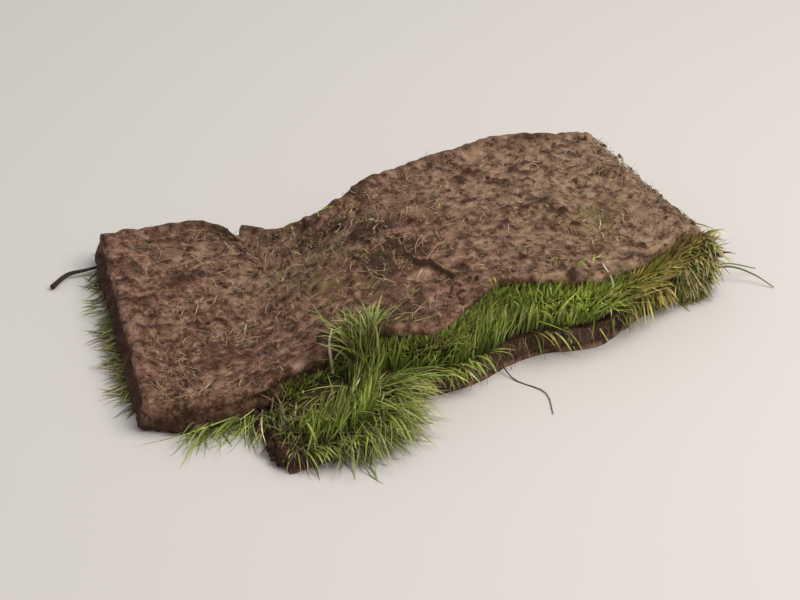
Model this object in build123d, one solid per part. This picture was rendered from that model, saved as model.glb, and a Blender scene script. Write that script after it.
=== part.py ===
"""Roll of turf: one strip of lawn turned over on itself once, soil outside and grass inside.

Every length is in millimetres. While the strip is worked out, x is 0 at the outermost line of the
turn and falls towards the free ends, y is 0 at the front edge line and grows to the back, and z is 0
on the ground. At the end both pieces move so that the origin is the bottom centre of the whole.
"""

from build123d import *
from math import asin, sin
import os

# The strip
STRIP_WIDTH = 190.0  # front edge line to back edge line at the turn
STRIP_FLARE = 84.0  # how much further back the back edge is at the top layer's free end
MAT_THICKNESS = 19.0  # soil held together by its roots
CRUMBLED_THICKNESS = 12.0  # the mat at its hidden free end
CRUMBLED_LENGTH = 85.0  # how far that thinning reaches

# The turn
TURN_HEIGHT = 65.0  # both layers and the grass between them
CROWN = 3.0  # the top layer's rise in the middle of the hump
TURN_FRONT = 14.0  # the front edge at the turn, behind the edge line

# The top layer's stretches, at the front edge line and at the back edge line
HUMP_LENGTH = (262.0, 208.0)  # from the turn to where it starts to come down
SLOPE_LENGTH = (185.0, 92.0)  # from there to where it lies on its own grass
FREE_LENGTH = (32.0, 122.0)  # from there to its free end
FREE_END_LEAN = 6.0  # how far the foot of that end's cut face stands out

# Grass that the mat lies on
CRUSHED_GRASS = 5.0  # under the free part of the top layer
PINCHED_GRASS = 4.0  # over the lower layer's free end, where the slope comes down on it

# The lower layer's corner that stands out from under the top one
CORNER_LENGTH = 46.0  # in front of the edge line
CORNER_WIDTH = 62.0
CORNER_SLANT = 34.0  # how far its right side runs along while it goes back

# A tear in the back edge of the top layer
TEAR_FROM_END = 117.0
TEAR_TIP = 30.0  # behind the back edge line
TEAR_WIDTH = 44.0  # at TEAR_MOUTH
TEAR_MOUTH = 66.0  # behind the back edge line

# A crack across the shoulder of the hump, from end to end
CRACK = ((-218.0, 34.0), (-237.0, 77.0))
CRACK_DEPTH = 4.0
CRACK_WIDTH = 5.0

# Waves of the cut edges, as (share of the top layer's length, share of EDGE_WAVE)
EDGE_WAVE = 22.0
TOP_FRONT_WAVE = (
    (1.06, 4.0),
    (0.985, 2.5),
    (0.93, 1.65),
    (0.84, 1.2),
    (0.72, 0.8),
    (0.62, 0.27),
    (0.54, -0.62),
    (0.46, 0.2),
    (0.4, 0.68),
    (0.32, -0.1),
    (0.25, -0.7),
    (0.19, -0.5),
    (0.1, 0.1),
)
LOWER_FRONT_WAVE = (
    (0.9, 0.2),
    (0.72, 0.1),
    (0.58, -0.3),
    (0.475, -0.45),
    (0.35, 0.05),
    (0.245, -0.48),
    (0.15, 0.25),
)
FRINGE_FRONT_WAVE = (
    (1.1, 3.2),
    (0.98, 1.6),
    (0.86, -0.2),
    (0.72, -0.7),
    (0.54, -1.2),
    (0.36, -0.6),
    (0.24, -1.1),
    (0.14, -0.5),
    (0.04, -0.2),
)
# The back edge, as (share of the top layer's length, share of STRIP_FLARE)
BACK_EDGE = (
    (0.0, -0.22),
    (0.09, -0.18),
    (0.17, -0.03),
    (0.25, 0.0),
    (0.42, -0.04),
    (0.52, -0.05),
    (0.57, 0.2),
    (0.64, 0.6),
    (0.72, 0.78),
    (0.85, 0.97),
    (1.1, 1.05),
)

# Grass that stands out past the mat
GRASS_CLEARANCE = 0.3  # between the grass and the mat all round
END_FRINGE = 8.0
BANK_DROP = 9.0  # from the soil face down to the fringe that stands up before the top layer's cut edge
BACK_FRINGE = 5.0

# The big tuft that hangs over the lower layer's corner, in sections from its root to its tip
TUFT_LENGTH = 88.0
TUFT_ROOT = 2.0  # in front of the edge line
TUFT_WIDTH = 96.0
TUFT_BESIDE_END = 11.0  # its left side, right of the lower layer's free end
TUFT_TOP = 43.0
# Each is (share of the length, of the width, of the top, and of the shelf under it that it spans)
TUFT_SECTIONS = (
    (0.0, 0.9, 1.0, 1.0),
    (0.3, 1.0, 1.0, 1.0),
    (0.52, 0.98, 0.9, 1.0),
    (0.8, 0.8, 0.55, 0.1),
    (1.0, 0.5, 0.2, 0.0),
)

# The bunch of dry thatch at the turn's front corner
THATCH_LENGTH = 28.0  # front to back
THATCH_PAST_TURN = 26.0
THATCH_RADIUS = 25.0
THATCH_TIP_RADIUS = 17.5
THATCH_HEIGHT = 29.0  # of its middle

# The lofts and the lower layer are made longer by these, and cut back to the edges
FRONT_SPARE = 30.0
BACK_SPARE = 95.0
GROUND_SPARE = 4.0

TURN_RADIUS = TURN_HEIGHT / 2
FREE_TOP = CRUSHED_GRASS + MAT_THICKNESS
TOP_LENGTH = HUMP_LENGTH[0] + SLOPE_LENGTH[0] + FREE_LENGTH[0]
CROWN_POLE = 8 / 3  # how far the middle pole stands off, in crowns
FRONT_PLACE = -FRONT_SPARE
BACK_PLACE = STRIP_WIDTH + BACK_SPARE


def at(pair, y):
    """A length at y, on the straight line from its front value to its back value."""
    front, back = pair
    return front + (back - front) * y / STRIP_WIDTH


def smooth(share):
    """Smooth step from 0 to 1, level at both ends."""
    return share * share * (3 - 2 * share)


def smooth_share(height):
    """The share at which the smooth step has that height."""
    return 0.5 - sin(asin(1 - 2 * height) / 3)


def lower_reach(y):
    """The lower layer's free end at y: where the slope leaves the pinched grass over it."""
    height = (CRUMBLED_THICKNESS + PINCHED_GRASS - CRUSHED_GRASS) / (TURN_HEIGHT - FREE_TOP)
    return at(HUMP_LENGTH, y) + at(SLOPE_LENGTH, y) * (1 - smooth_share(height))


def top_reach(y):
    """The top layer's free end at y."""
    return at(HUMP_LENGTH, y) + at(SLOPE_LENGTH, y) + at(FREE_LENGTH, y)


def top_line(y, drop, past):
    """Draws the top layer's upper face in the section at y, lowered by drop and longer by past.

    It runs from the free end to the turn. The slope is a curve of four poles, and the hump's five poles
    give it a crown that is level at both ends.
    """
    low, high = FREE_TOP - drop, TURN_HEIGHT - drop
    head, third = at(HUMP_LENGTH, y), at(SLOPE_LENGTH, y) / 3
    foot = head + 3 * third
    quarter = (head - TURN_RADIUS) / 4
    Line((-top_reach(y) - past, low), (-foot, low))
    Bezier((-foot, low), (-foot + third, low), (-head - third, high), (-head, high))
    top = high + CROWN_POLE * CROWN
    Bezier(
        (-head, high),
        (-head + quarter, high),
        (-head + 2 * quarter, top),
        (-head + 3 * quarter, high),
        (-TURN_RADIUS, high),
    )


def lower_line(y, lift):
    """Points of the lower layer's upper face in the section at y, raised by lift, from the turn on."""
    reach = lower_reach(y)
    return [
        (-TURN_RADIUS, MAT_THICKNESS + lift),
        (-reach + CRUMBLED_LENGTH, MAT_THICKNESS + lift),
        (-reach - lift, CRUMBLED_THICKNESS + lift),
    ]


def lofted(section):
    """A ruled loft from front to back between the outlines that section draws there."""
    with BuildPart() as body:
        for y in (FRONT_PLACE, BACK_PLACE):
            with BuildSketch(Plane.XZ.offset(-y)):
                with BuildLine():
                    section(y)
                make_face()
        loft(ruled=True)
    return body.part


def top_section(y):
    """The top layer from its free end to half way round the turn."""
    end = -top_reach(y)
    top_line(y, 0, 0)
    JernArc((-TURN_RADIUS, TURN_HEIGHT), (1, 0), TURN_RADIUS, -90)
    Line((0, TURN_RADIUS), (-MAT_THICKNESS, TURN_RADIUS))
    JernArc((-MAT_THICKNESS, TURN_RADIUS), (0, 1), TURN_RADIUS - MAT_THICKNESS, 90)
    top_line(y, MAT_THICKNESS, FREE_END_LEAN)
    Line((end - FREE_END_LEAN, CRUSHED_GRASS), (end, FREE_TOP))


def grass_section(y):
    """The grass between the layers and under the free part of the top one."""
    drop, past = MAT_THICKNESS + GRASS_CLEARANCE, FREE_END_LEAN + END_FRINGE
    end = -top_reach(y) - past
    turn, full, thin = lower_line(y, GRASS_CLEARANCE)
    top_line(y, drop, past)
    JernArc((-TURN_RADIUS, TURN_HEIGHT - drop), (1, 0), TURN_RADIUS - drop, -180)
    Polyline(turn, full, thin, (thin[0], -GROUND_SPARE), (end, -GROUND_SPARE), (end, FREE_TOP - drop))


def bank_section(y):
    """The fringe that stands up before the top layer's cut edge, from the grass below it."""
    foot = MAT_THICKNESS + 2 * GRASS_CLEARANCE
    end = -top_reach(y) - FREE_END_LEAN
    top_line(y, BANK_DROP, FREE_END_LEAN)
    Line((-TURN_RADIUS, TURN_HEIGHT - BANK_DROP), (-TURN_RADIUS, TURN_HEIGHT - foot))
    top_line(y, foot, FREE_END_LEAN)
    Line((end, FREE_TOP - foot), (end, FREE_TOP - BANK_DROP))


def plan_points(shares, edge, size):
    """Places along an edge, from its shares, its edge line and the size that they are shares of."""
    return [(-along * TOP_LENGTH, edge + out * size) for along, out in shares]


def plan_between(front, back):
    """The plan outline between a front edge that runs to the turn and a back edge that runs from it."""
    with BuildSketch() as plan:
        with BuildLine():
            Spline(*front)
            Polyline(front[-1], (FRONT_SPARE, front[-1][1]), (FRONT_SPARE, back[0][1]), back[0])
            Spline(*back)
            Line(back[-1], front[0])
        make_face()
    return plan.sketch


def polygon(*points):
    return make_face(Polyline(*points, close=True))


def column(plan):
    """The space over a plan outline, from the ground to well over the turn."""
    return extrude(plan, 2 * TURN_HEIGHT)


def make_crack():
    """The wedge of space that the crack leaves."""
    (x, y), (end_x, end_y) = CRACK
    line = Vector(end_x - x, end_y - y)
    across = Plane(origin=(x, y, TURN_HEIGHT), x_dir=(-line.Y, line.X, 0), z_dir=line)
    wedge = polygon((-CRACK_WIDTH, CRACK_DEPTH), (0, -CRACK_DEPTH), (CRACK_WIDTH, CRACK_DEPTH))
    return extrude(across * wedge, line.length)


def make_top_layer():
    """The layer that lies soil up, with the upper half of the turn."""
    front = plan_points(TOP_FRONT_WAVE, 0, EDGE_WAVE) + [(-TURN_RADIUS, TURN_FRONT)]
    back = plan_points(BACK_EDGE, STRIP_WIDTH, STRIP_FLARE)
    tear = TEAR_FROM_END - top_reach(STRIP_WIDTH)
    tear_plan = polygon(
        (tear, STRIP_WIDTH + TEAR_TIP),
        (tear + TEAR_WIDTH / 2, STRIP_WIDTH + TEAR_MOUTH),
        (tear - TEAR_WIDTH / 2, STRIP_WIDTH + TEAR_MOUTH),
    )
    return (lofted(top_section) & column(plan_between(front, back) - tear_plan)) - make_crack()


def make_lower_layer():
    """The layer that lies on its soil, with the lower half of the turn."""
    before_corner = -CORNER_LENGTH - FRONT_SPARE
    end = -lower_reach(before_corner) - BACK_SPARE
    with BuildSketch(Plane.XZ.offset(-BACK_PLACE)) as profile:
        with BuildLine():
            JernArc((0, TURN_RADIUS), (0, -1), TURN_RADIUS, -90)
            Polyline((-TURN_RADIUS, 0), (end, 0), (end, MAT_THICKNESS), (-TURN_RADIUS, MAT_THICKNESS))
            JernArc((-TURN_RADIUS, MAT_THICKNESS), (1, 0), TURN_RADIUS - MAT_THICKNESS, 90)
            Line((-MAT_THICKNESS, TURN_RADIUS), (0, TURN_RADIUS))
        make_face()
    slab = extrude(profile.sketch, BACK_PLACE - before_corner)

    wedges = []
    for y in (before_corner, BACK_PLACE):
        _, full, thin = lower_line(y, 0)
        wedges.append(Plane.XZ.offset(-y) * polygon(full, thin, (thin[0], 2 * MAT_THICKNESS)))
    slab -= loft(wedges, ruled=True)

    front = plan_points(LOWER_FRONT_WAVE, 0, EDGE_WAVE) + [(-TURN_RADIUS, TURN_FRONT)]
    back = plan_points(BACK_EDGE, STRIP_WIDTH, STRIP_FLARE)
    cut_end = polygon(
        (-lower_reach(FRONT_PLACE), FRONT_PLACE),
        (FRONT_SPARE, FRONT_PLACE),
        (FRONT_SPARE, BACK_PLACE),
        (-lower_reach(BACK_PLACE), BACK_PLACE),
    )
    left, inside = -lower_reach(-CORNER_LENGTH / 2), STRIP_WIDTH / 4
    right = left + CORNER_WIDTH
    corner = polygon(
        (-lower_reach(0), 0),
        (left, -CORNER_LENGTH / 2),
        (left, -CORNER_LENGTH),
        (right, -CORNER_LENGTH),
        (right + CORNER_SLANT, 0),
        (right + CORNER_SLANT, inside),
        (-lower_reach(inside), inside),
    )
    return slab & column((plan_between(front, back) & cut_end) + corner)


def make_big_tuft():
    """The lock of grass that hangs over the lower layer's corner down to the ground."""
    shelf = MAT_THICKNESS + GRASS_CLEARANCE
    middle = -lower_reach(0) + TUFT_BESIDE_END + TUFT_WIDTH / 2
    sections = []
    for along, wide, top, base in TUFT_SECTIONS:
        low, high = base * shelf, top * TUFT_TOP
        lock = Pos(middle, (low + high) / 2) * Ellipse(wide * TUFT_WIDTH / 2, (high - low) / 2)
        sections.append(Plane.XZ.offset(TUFT_ROOT + along * TUFT_LENGTH) * lock)
    return loft(sections, ruled=True)


def make_corner_thatch():
    """The bunch of thatch that fills the turn's front end and sticks out past it."""
    middle = TURN_FRONT - GRASS_CLEARANCE - THATCH_LENGTH / 2
    bunch = Cone(THATCH_RADIUS, THATCH_TIP_RADIUS, THATCH_LENGTH, rotation=(90, 0, 0))
    return Pos(THATCH_PAST_TURN - THATCH_RADIUS, middle, THATCH_HEIGHT) * bunch


def make_root_mat():
    """Soil and roots: the two layers and the turn that joins them, one solid."""
    return make_top_layer() + make_lower_layer()


def make_grass_sward():
    """Grass: what lies between the layers, its fringe and the two tufts at the front, one solid."""
    front = plan_points(FRINGE_FRONT_WAVE, 0, EDGE_WAVE)
    back = plan_points(BACK_EDGE, STRIP_WIDTH + BACK_FRINGE, STRIP_FLARE)
    filling = lofted(grass_section) & column(plan_between(front, back))
    cut_edge = plan_points(TOP_FRONT_WAVE, -GRASS_CLEARANCE, EDGE_WAVE)
    cut_edge.append((-TURN_RADIUS, TURN_FRONT - GRASS_CLEARANCE))
    bank = lofted(bank_section) & column(plan_between(front, cut_edge[::-1]))
    return filling + bank + make_big_tuft() + make_corner_thatch()


def stand_at_origin(pieces):
    """The pieces, moved together so that the bottom centre of their box is the origin."""
    box = pieces[0].bounding_box()
    for piece in pieces[1:]:
        box = box.add(piece.bounding_box())
    middle = box.center()
    return [Pos(-middle.X, -middle.Y, -box.min.Z) * piece for piece in pieces]


root_mat, grass_sward = stand_at_origin([make_root_mat(), make_grass_sward()])
os.makedirs("parts", exist_ok=True)
export_step(root_mat, "parts/root_mat.step")
export_step(grass_sward, "parts/grass_sward.step")
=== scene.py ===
"""A short strip of cut turf, turned over on itself once: bare soil outside, grass inside.

The strip is worked out in its own coordinates, in metres: x is 0 at the outermost line of the turn and
falls towards the free ends, y is 0 at the front edge line and grows to the back, z is 0 on the ground.
A place along the strip is u: 0 to 1 is the top layer's free part, 1 to 2 its slope, 2 to 3 its hump,
3 to 4 the turn and 4 to 5 the lower layer. v is 0 at the front edge and 1 at the back edge.
"""

import math
from itertools import product

import bmesh
import bpy
import numpy as np
from bpy.props import FloatProperty, FloatVectorProperty, IntProperty, PointerProperty
from mathutils import Euler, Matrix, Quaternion, Vector


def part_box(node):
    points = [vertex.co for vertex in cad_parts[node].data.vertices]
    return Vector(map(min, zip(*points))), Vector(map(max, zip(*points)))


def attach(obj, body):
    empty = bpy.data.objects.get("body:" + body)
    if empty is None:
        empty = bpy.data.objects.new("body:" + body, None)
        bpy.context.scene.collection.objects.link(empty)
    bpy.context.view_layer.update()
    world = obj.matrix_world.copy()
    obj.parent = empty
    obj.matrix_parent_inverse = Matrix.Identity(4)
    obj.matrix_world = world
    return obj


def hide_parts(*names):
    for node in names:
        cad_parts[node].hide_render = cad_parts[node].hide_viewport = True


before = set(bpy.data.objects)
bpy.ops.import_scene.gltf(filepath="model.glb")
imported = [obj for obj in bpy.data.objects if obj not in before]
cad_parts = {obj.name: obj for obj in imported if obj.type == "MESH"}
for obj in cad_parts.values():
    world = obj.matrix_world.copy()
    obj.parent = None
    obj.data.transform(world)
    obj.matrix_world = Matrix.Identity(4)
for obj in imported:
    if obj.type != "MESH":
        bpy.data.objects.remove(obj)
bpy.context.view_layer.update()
MAT_LOW, MAT_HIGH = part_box("root_mat")

bl_info = {
    "name": "Roll of turf",
    "version": (1, 0, 0),
    "blender": (4, 5, 0),
    "location": "3D View > Sidebar > Turf",
    "description": "Builds a strip of cut turf turned over on itself, with its grass, roots and crumbs",
    "category": "Object",
}

# Cut edges in plan: (share of the top layer's length, share of the edge wave)
TOP_FRONT_WAVE = (
    (0.1, 0.1),
    (0.19, -0.5),
    (0.25, -0.7),
    (0.32, -0.1),
    (0.4, 0.68),
    (0.46, 0.2),
    (0.54, -0.62),
    (0.62, 0.27),
    (0.72, 0.8),
    (0.84, 1.2),
    (0.93, 1.65),
    (0.985, 2.5),
    (1.06, 4.0),
)
LOWER_FRONT_WAVE = (
    (0.15, 0.25),
    (0.245, -0.48),
    (0.35, 0.05),
    (0.475, -0.45),
    (0.58, -0.3),
    (0.72, 0.1),
    (0.9, 0.2),
)
# The back edge in plan: (share of the top layer's length, share of the strip's flare)
BACK_EDGE = (
    (0.0, -0.22),
    (0.09, -0.18),
    (0.17, -0.03),
    (0.25, 0.0),
    (0.42, -0.04),
    (0.52, -0.05),
    (0.57, 0.2),
    (0.64, 0.6),
    (0.72, 0.78),
    (0.85, 0.97),
    (1.1, 1.05),
)

# The long crack across the hump, in plan
CRACK_START = np.array((-0.237, 0.077))
CRACK_END = np.array((-0.218, 0.034))

# Rounds in which a point's x and y settle between the edges
SETTLING = 24

# Rows of the mat's mesh on each stretch and at its shrinking ends, and the u where its upper side ends
MAT_ROWS = (50, 104, 134, 68, 84)
END_ROWS = 5
UPPER_END = 3.2

# Rough lengths of the strip's stretches, for the steps of paths over the soil
ROUGH_LENGTHS = (0.07, 0.14, 0.20, 0.102)
ROUGH_LOWER_LENGTH = 0.34

# The lattice of the noises is turned by these angles, so that none of its planes lies along an edge
NOISE_TURN = np.array(Euler((0.53, 0.71, 0.37)).to_matrix())

# Noises of the soil: size in metres, octaves where they are added up, and seed
BEND_NOISE = (0.013, 17)
LUMP_NOISE = (0.034, 2, 11)
GRAIN_NOISE = (0.0085, 3, 23)
ALONG_NOISE = (0.0042, 2, 37)
ACROSS_NOISE = (0.005, 2, 41)
ROOT_NOISE = (0.014, 43)
CLOD_CELLS = (0.0125, 53)
PIT_CELLS = (0.016, 61)
CRACK_NOISE = (0.021, 79)
CRACKED_NOISE = (0.06, 71)
CUT_NOISE = (0.02, 4, 91)
WEAR_NOISE = (0.02, 3, 97)
MARK_NOISE = (0.018, 3, 131)
MOSS_NOISE = (0.0045, 137)
CRACK_BENDS = ((0.016, 83), (0.016, 89))

# Noises of the grass: size in metres and seed, for the blades' turn, droop, length and shade
TURN_NOISE = (0.015, 157)
DROOP_NOISE = (0.012, 159)
LENGTH_NOISE = (0.018, 161)
SHADE_NOISE = (0.013, 163)
FINE_SHADE_NOISE = (0.004, 167)
FELT_NOISE = (0.006, 2, 101)
FELT_SHADE_NOISE = (0.01, 2, 103)

# Attributes of the soil's mesh that its material reads
SOIL_MARKS = ("relief", "cut", "dry", "damp", "mossy")

# Places on the soil face in plan: middle, and reach along x and y
TEAR_SPOT = ((-0.314, 0.228), (0.016, 0.014))
# The front spot marks painted shadow at the soil's front edge above the fringe
FRONT_SHADOW_SPOT = ((-0.27, 0.012), (0.045, 0.022))
RISE_SPOT = ((-0.24, 0.095), (0.026, 0.034))
DIP_SPOT = ((-0.29, 0.09), (0.024, 0.06))
PATCH_SPOT = ((-0.09, 0.062), (0.034, 0.038))

# How near to each other points are merged, and how far grass keeps from the soil
WELD = 1e-5
CLEARANCE = 0.0006

# How much lower a blade's midrib lies than its edges, in shares of its width
BLADE_FOLD = 0.22

# A clod's rings, the points round each of them, and all its points with both poles
LUMP_RINGS, LUMP_AROUND = 4, 6
LUMP_POINTS = LUMP_RINGS * LUMP_AROUND + 2

# The camera, in the strip's coordinates
CAMERA_PLACE = (-1.3226, -1.8499, 1.4996)
CAMERA_TARGET = (-0.2379, 0.0808, 0.026)
CAMERA_ROLL = math.radians(0.7)

# Bits that lie on the soil: name, middle and spread in u and v, count, and weights of their colours
PATCHES = (
    ("green_scraps", (1.7, 0.62), (0.3, 0.2), 130, {"olive": 3, "deep_green": 2, "thatch": 2}),
    ("straw_patch", (2.70, 0.36), (0.12, 0.13), 190, {"straw": 1.5, "olive": 4, "thatch": 2}),
    ("strewn_bits", (1.6, 0.5), (0.9, 0.3), 260, {"straw": 2, "olive": 3, "thatch": 3}),
)

# Loose stems: name, points on the way, radii at the foot and the tip, and display colour
STEMS = (
    (
        "pale_stalk",
        ((-0.110, -0.020, 0.048), (-0.112, -0.019, 0.064), (-0.1165, -0.0125, 0.0755)),
        (0.0013, 0.0006),
        (214, 200, 170),
    ),
    (
        "pale_stalk_2",
        ((-0.334, 0.009, 0.034), (-0.336, 0.011, 0.058), (-0.330, 0.018, 0.067)),
        (0.0013, 0.0006),
        (186, 180, 132),
    ),
    (
        "dark_stalk",
        ((-0.398, 0.262, 0.004), (-0.419, 0.261, 0.005), (-0.434, 0.263, 0.004), (-0.451, 0.254, 0.003)),
        (0.0008, 0.0022),
        (56, 46, 38),
    ),
    (
        "loose_root",
        ((-0.198, 0.004, 0.010), (-0.196, -0.020, 0.001), (-0.184, -0.046, 0.001), (-0.193, -0.073, 0.001)),
        (0.0006, 0.0003),
        (70, 56, 44),
    ),
    (
        "long_blade",
        ((0.002, 0.026, 0.010), (0.022, 0.018, 0.013), (0.037, 0.006, 0.008), (0.047, -0.008, 0.001)),
        (0.0010, 0.0004),
        (96, 104, 62),
    ),
    (
        "long_blade_2",
        ((0.002, 0.030, 0.008), (0.023, 0.024, 0.012), (0.045, 0.015, 0.006)),
        (0.0009, 0.0004),
        (118, 122, 76),
    ),
)


def linear(red, green, blue):
    """Scene-linear colour of a display colour from 0 to 255: each share is raised as the sRGB curve says."""
    shares = np.array((red, green, blue)) / 255
    curve = np.where(shares <= 0.04045, shares / 12.92, ((shares + 0.055) / 1.055) ** 2.4)
    return tuple(float(c) for c in curve)


def length_property(name, description, default):
    return FloatProperty(
        name=name, description=description, default=default, subtype="DISTANCE", unit="LENGTH"
    )


def colour_property(name, description, default):
    return FloatVectorProperty(
        name=name, description=description, default=default, subtype="COLOR", size=3, min=0.0, max=1.0
    )


class TurfShape(bpy.types.PropertyGroup):
    """Sizes of the strip, its turn and its layers."""

    strip_width: length_property("Strip width", "Front edge line to back edge line at the turn", 0.190)
    strip_flare: length_property("Strip flare", "How far the back edge goes back at the free end", 0.084)
    mat_thickness: length_property("Mat thickness", "Soil held together by its roots", 0.019)
    crumbled_thickness: length_property("Crumbled thickness", "The mat at its hidden free end", 0.012)
    crumbled_length: length_property("Crumbled length", "How far that thinning reaches", 0.085)
    turn_height: length_property("Turn height", "Both layers and the grass between them", 0.065)
    crown: length_property("Crown", "The top layer's rise in the middle of the hump", 0.003)
    turn_front: length_property("Turn front", "The front edge at the turn, behind the edge line", 0.014)
    hump_front: length_property("Hump, front", "The level stretch at the front edge line", 0.262)
    hump_back: length_property("Hump, back", "The level stretch at the back edge line", 0.208)
    slope_front: length_property("Slope, front", "The falling stretch at the front edge line", 0.185)
    slope_back: length_property("Slope, back", "The falling stretch at the back edge line", 0.092)
    free_front: length_property("Free part, front", "The low stretch at the front edge line", 0.032)
    free_back: length_property("Free part, back", "The low stretch at the back edge line", 0.122)
    free_end_lean: length_property("Free end lean", "How far the foot of its cut face stands out", 0.006)
    crushed_grass: length_property("Crushed grass", "Grass under the free part", 0.005)
    pinched_grass: length_property("Pinched grass", "Grass over the lower layer's free end", 0.004)
    edge_wave: length_property("Edge wave", "Size of the waves of the cut edges", 0.022)
    corner_length: length_property("Corner length", "The lower layer's corner before the edge line", 0.046)
    corner_width: length_property("Corner width", "Width of that corner", 0.062)
    corner_slant: length_property("Corner slant", "How far its right side runs along", 0.034)
    tear_from_end: length_property("Tear from end", "Place of the tear in the back edge", 0.117)
    tear_tip: length_property("Tear tip", "Tip of the tear, behind the back edge line", 0.030)
    tear_slope: FloatProperty(
        name="Tear slope", description="Depth of the tear over half its width", default=1.64, min=0.1
    )
    grid_step: length_property("Grid step", "Spacing of the soil's mesh points", 0.0015)


class TurfSoil(bpy.types.PropertyGroup):
    """Relief and colours of the soil, and how much loose stuff lies on it."""

    lump_height: length_property("Lump height", "Broad unevenness of the soil face", 0.0019)
    grain_height: length_property("Grain height", "Fine unevenness of the soil face", 0.0017)
    clod_height: length_property("Clod height", "Rounded clods of the soil face", 0.0023)
    crack_depth: length_property("Crack depth", "Depth of the cracks", 0.0024)
    edge_wear: length_property("Edge wear", "How much the corners are crumbled off", 0.0042)
    cut_roughness: length_property("Cut roughness", "Raggedness of the cut faces", 0.0030)
    fibre_count: IntProperty(name="Root fibres", description="Fibres on the soil face", default=2600, min=1)
    clod_count: IntProperty(name="Loose clods", description="Clods on the soil", default=650, min=1)
    red_soil: colour_property("Red soil", "Soil of the free part", linear(124, 85, 69))
    pale_soil: colour_property("Pale soil", "Drier soil near the turn", linear(143, 114, 92))
    # Dark soil, also painted shade in pits, cracks, at the front edge, on the cut faces and on the clods
    # under the top layer's front edge
    dark_soil_and_shade: colour_property("Dark soil", "Soil in pits, cracks and cut faces", linear(58, 38, 26))
    root_colour: colour_property("Root", "Pale root fibres", linear(172, 146, 118))


class TurfGrass(bpy.types.PropertyGroup):
    """Sizes and colours of the grass."""

    blade_width: length_property("Blade width", "Width of a full blade", 0.0019)
    blade_length: length_property("Blade length", "Length of a middling blade", 0.042)
    deep_green: colour_property("Deep green", "Old blades", linear(92, 112, 36))
    fresh_green: colour_property("Fresh green", "Middling blades", linear(148, 166, 62))
    bright_green: colour_property("Bright green", "Young blades", linear(194, 206, 108))
    olive: colour_property("Olive", "Tired blades", linear(150, 138, 76))
    straw: colour_property("Straw", "Dead blades and sheaths", linear(206, 188, 140))
    # Also the felt's colour between the layers, where this dark colour is painted shade of dense grass
    thatch: colour_property("Thatch", "Matted dead grass at the roots", linear(62, 54, 28))


class TurfStage(bpy.types.PropertyGroup):
    """Floor, lamps and camera."""

    floor_colour: colour_property("Floor", "Plain pale floor", linear(206, 201, 196))
    floor_size: length_property("Floor size", "Side of the floor", 40.0)
    sky_light: FloatProperty(name="Sky light", description="Strength of the even light", default=0.5, min=0.0)
    key_light: FloatProperty(name="Key light", description="Watts of the soft lamp", default=40.0, min=0.0)
    lens: FloatProperty(name="Lens", description="Focal length in millimetres", default=156.9, min=1.0)


def smooth(share):
    """Smooth step from 0 to 1, level at both ends, and held there outside them."""
    share = np.clip(share, 0, 1)
    return share * share * (3 - 2 * share)


def bell(offset):
    """1 where the offset is 0, falling to 0 on both sides: the exponential of minus its square."""
    return np.exp(-(offset**2))


def spot(points, middle, reach):
    """A bell in plan round the middle."""
    return np.exp(-(((points[..., :2] - middle) / reach) ** 2).sum(-1))


def hashed(ix, iy, iz, seed):
    """Numbers from 0 to 1 for lattice points: sums of odd multiples, mixed by shifts, cut to 24 bits."""
    mixed = (ix * 374761393 + iy * 668265263 + iz * 1442695041 + seed * 974634777) & 0xFFFFFFFF
    mixed = ((mixed ^ (mixed >> 13)) * 1274126177) & 0xFFFFFFFF
    mixed = mixed ^ (mixed >> 16)
    return (mixed & 0xFFFFFF) / 0xFFFFFF


def noise(points, size, seed):
    """Smooth noise from -1 to 1: hashed values at lattice points, size apart, blended by the smooth step."""
    scaled = points @ NOISE_TURN / size
    base = np.floor(scaled)
    blend = smooth(scaled - base)
    ix, iy, iz = (base[..., k].astype(np.int64) for k in range(3))
    total = np.zeros(points.shape[:-1])
    for dx, dy, dz in product((0, 1), repeat=3):
        weight = np.where(dx, blend[..., 0], 1 - blend[..., 0])
        weight = weight * np.where(dy, blend[..., 1], 1 - blend[..., 1])
        weight = weight * np.where(dz, blend[..., 2], 1 - blend[..., 2])
        total += weight * hashed(ix + dx, iy + dy, iz + dz, seed)
    return total * 2 - 1


def fractal(points, size, octaves, seed):
    """Noises added up, each about half the size and 0.55 of the strength of the last, scaled to about 1."""
    total, strength, reach = 0.0, 1.0, 0.0
    for octave in range(octaves):
        total = total + strength * noise(points, size / 2.03**octave, seed + 7 * octave)
        reach += strength
        strength *= 0.55
    return total / reach


def cells(points, size, seed):
    """Distance to the nearest of the hashed points, one in each cube of the lattice, in shares of size."""
    scaled = points @ NOISE_TURN / size
    base = np.floor(scaled).astype(np.int64)
    nearest = np.full(points.shape[:-1], 9.0)
    for step in product((-1, 0, 1), repeat=3):
        cube = [base[..., k] + step[k] for k in range(3)]
        centre = np.stack([cube[k] + hashed(*cube, seed + k) for k in range(3)], -1)
        nearest = np.minimum(nearest, np.linalg.norm(scaled - centre, axis=-1))
    return nearest


def curve_through(knots, at):
    """A smooth curve through knots: on each stretch the cubic with their values and central slopes."""
    xs, ys = np.array(knots).T
    slopes = np.gradient(ys, xs)
    at = np.clip(at, xs[0], xs[-1])
    k = np.clip(np.searchsorted(xs, at) - 1, 0, len(xs) - 2)
    gap = xs[k + 1] - xs[k]
    t = (at - xs[k]) / gap
    start = (2 * t**3 - 3 * t**2 + 1) * ys[k] + (t**3 - 2 * t**2 + t) * gap * slopes[k]
    return start + (3 * t**2 - 2 * t**3) * ys[k + 1] + (t**3 - t**2) * gap * slopes[k + 1]


def stretches(y, s):
    """Lengths of the hump, the slope and the free part at y, changing evenly from front to back."""
    share = y / s.strip_width
    ends = ((s.hump_front, s.hump_back), (s.slope_front, s.slope_back), (s.free_front, s.free_back))
    return tuple(front + (back - front) * share for front, back in ends)


def free_top(s):
    """Height of the soil face on the top layer's free part."""
    return s.crushed_grass + s.mat_thickness


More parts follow.
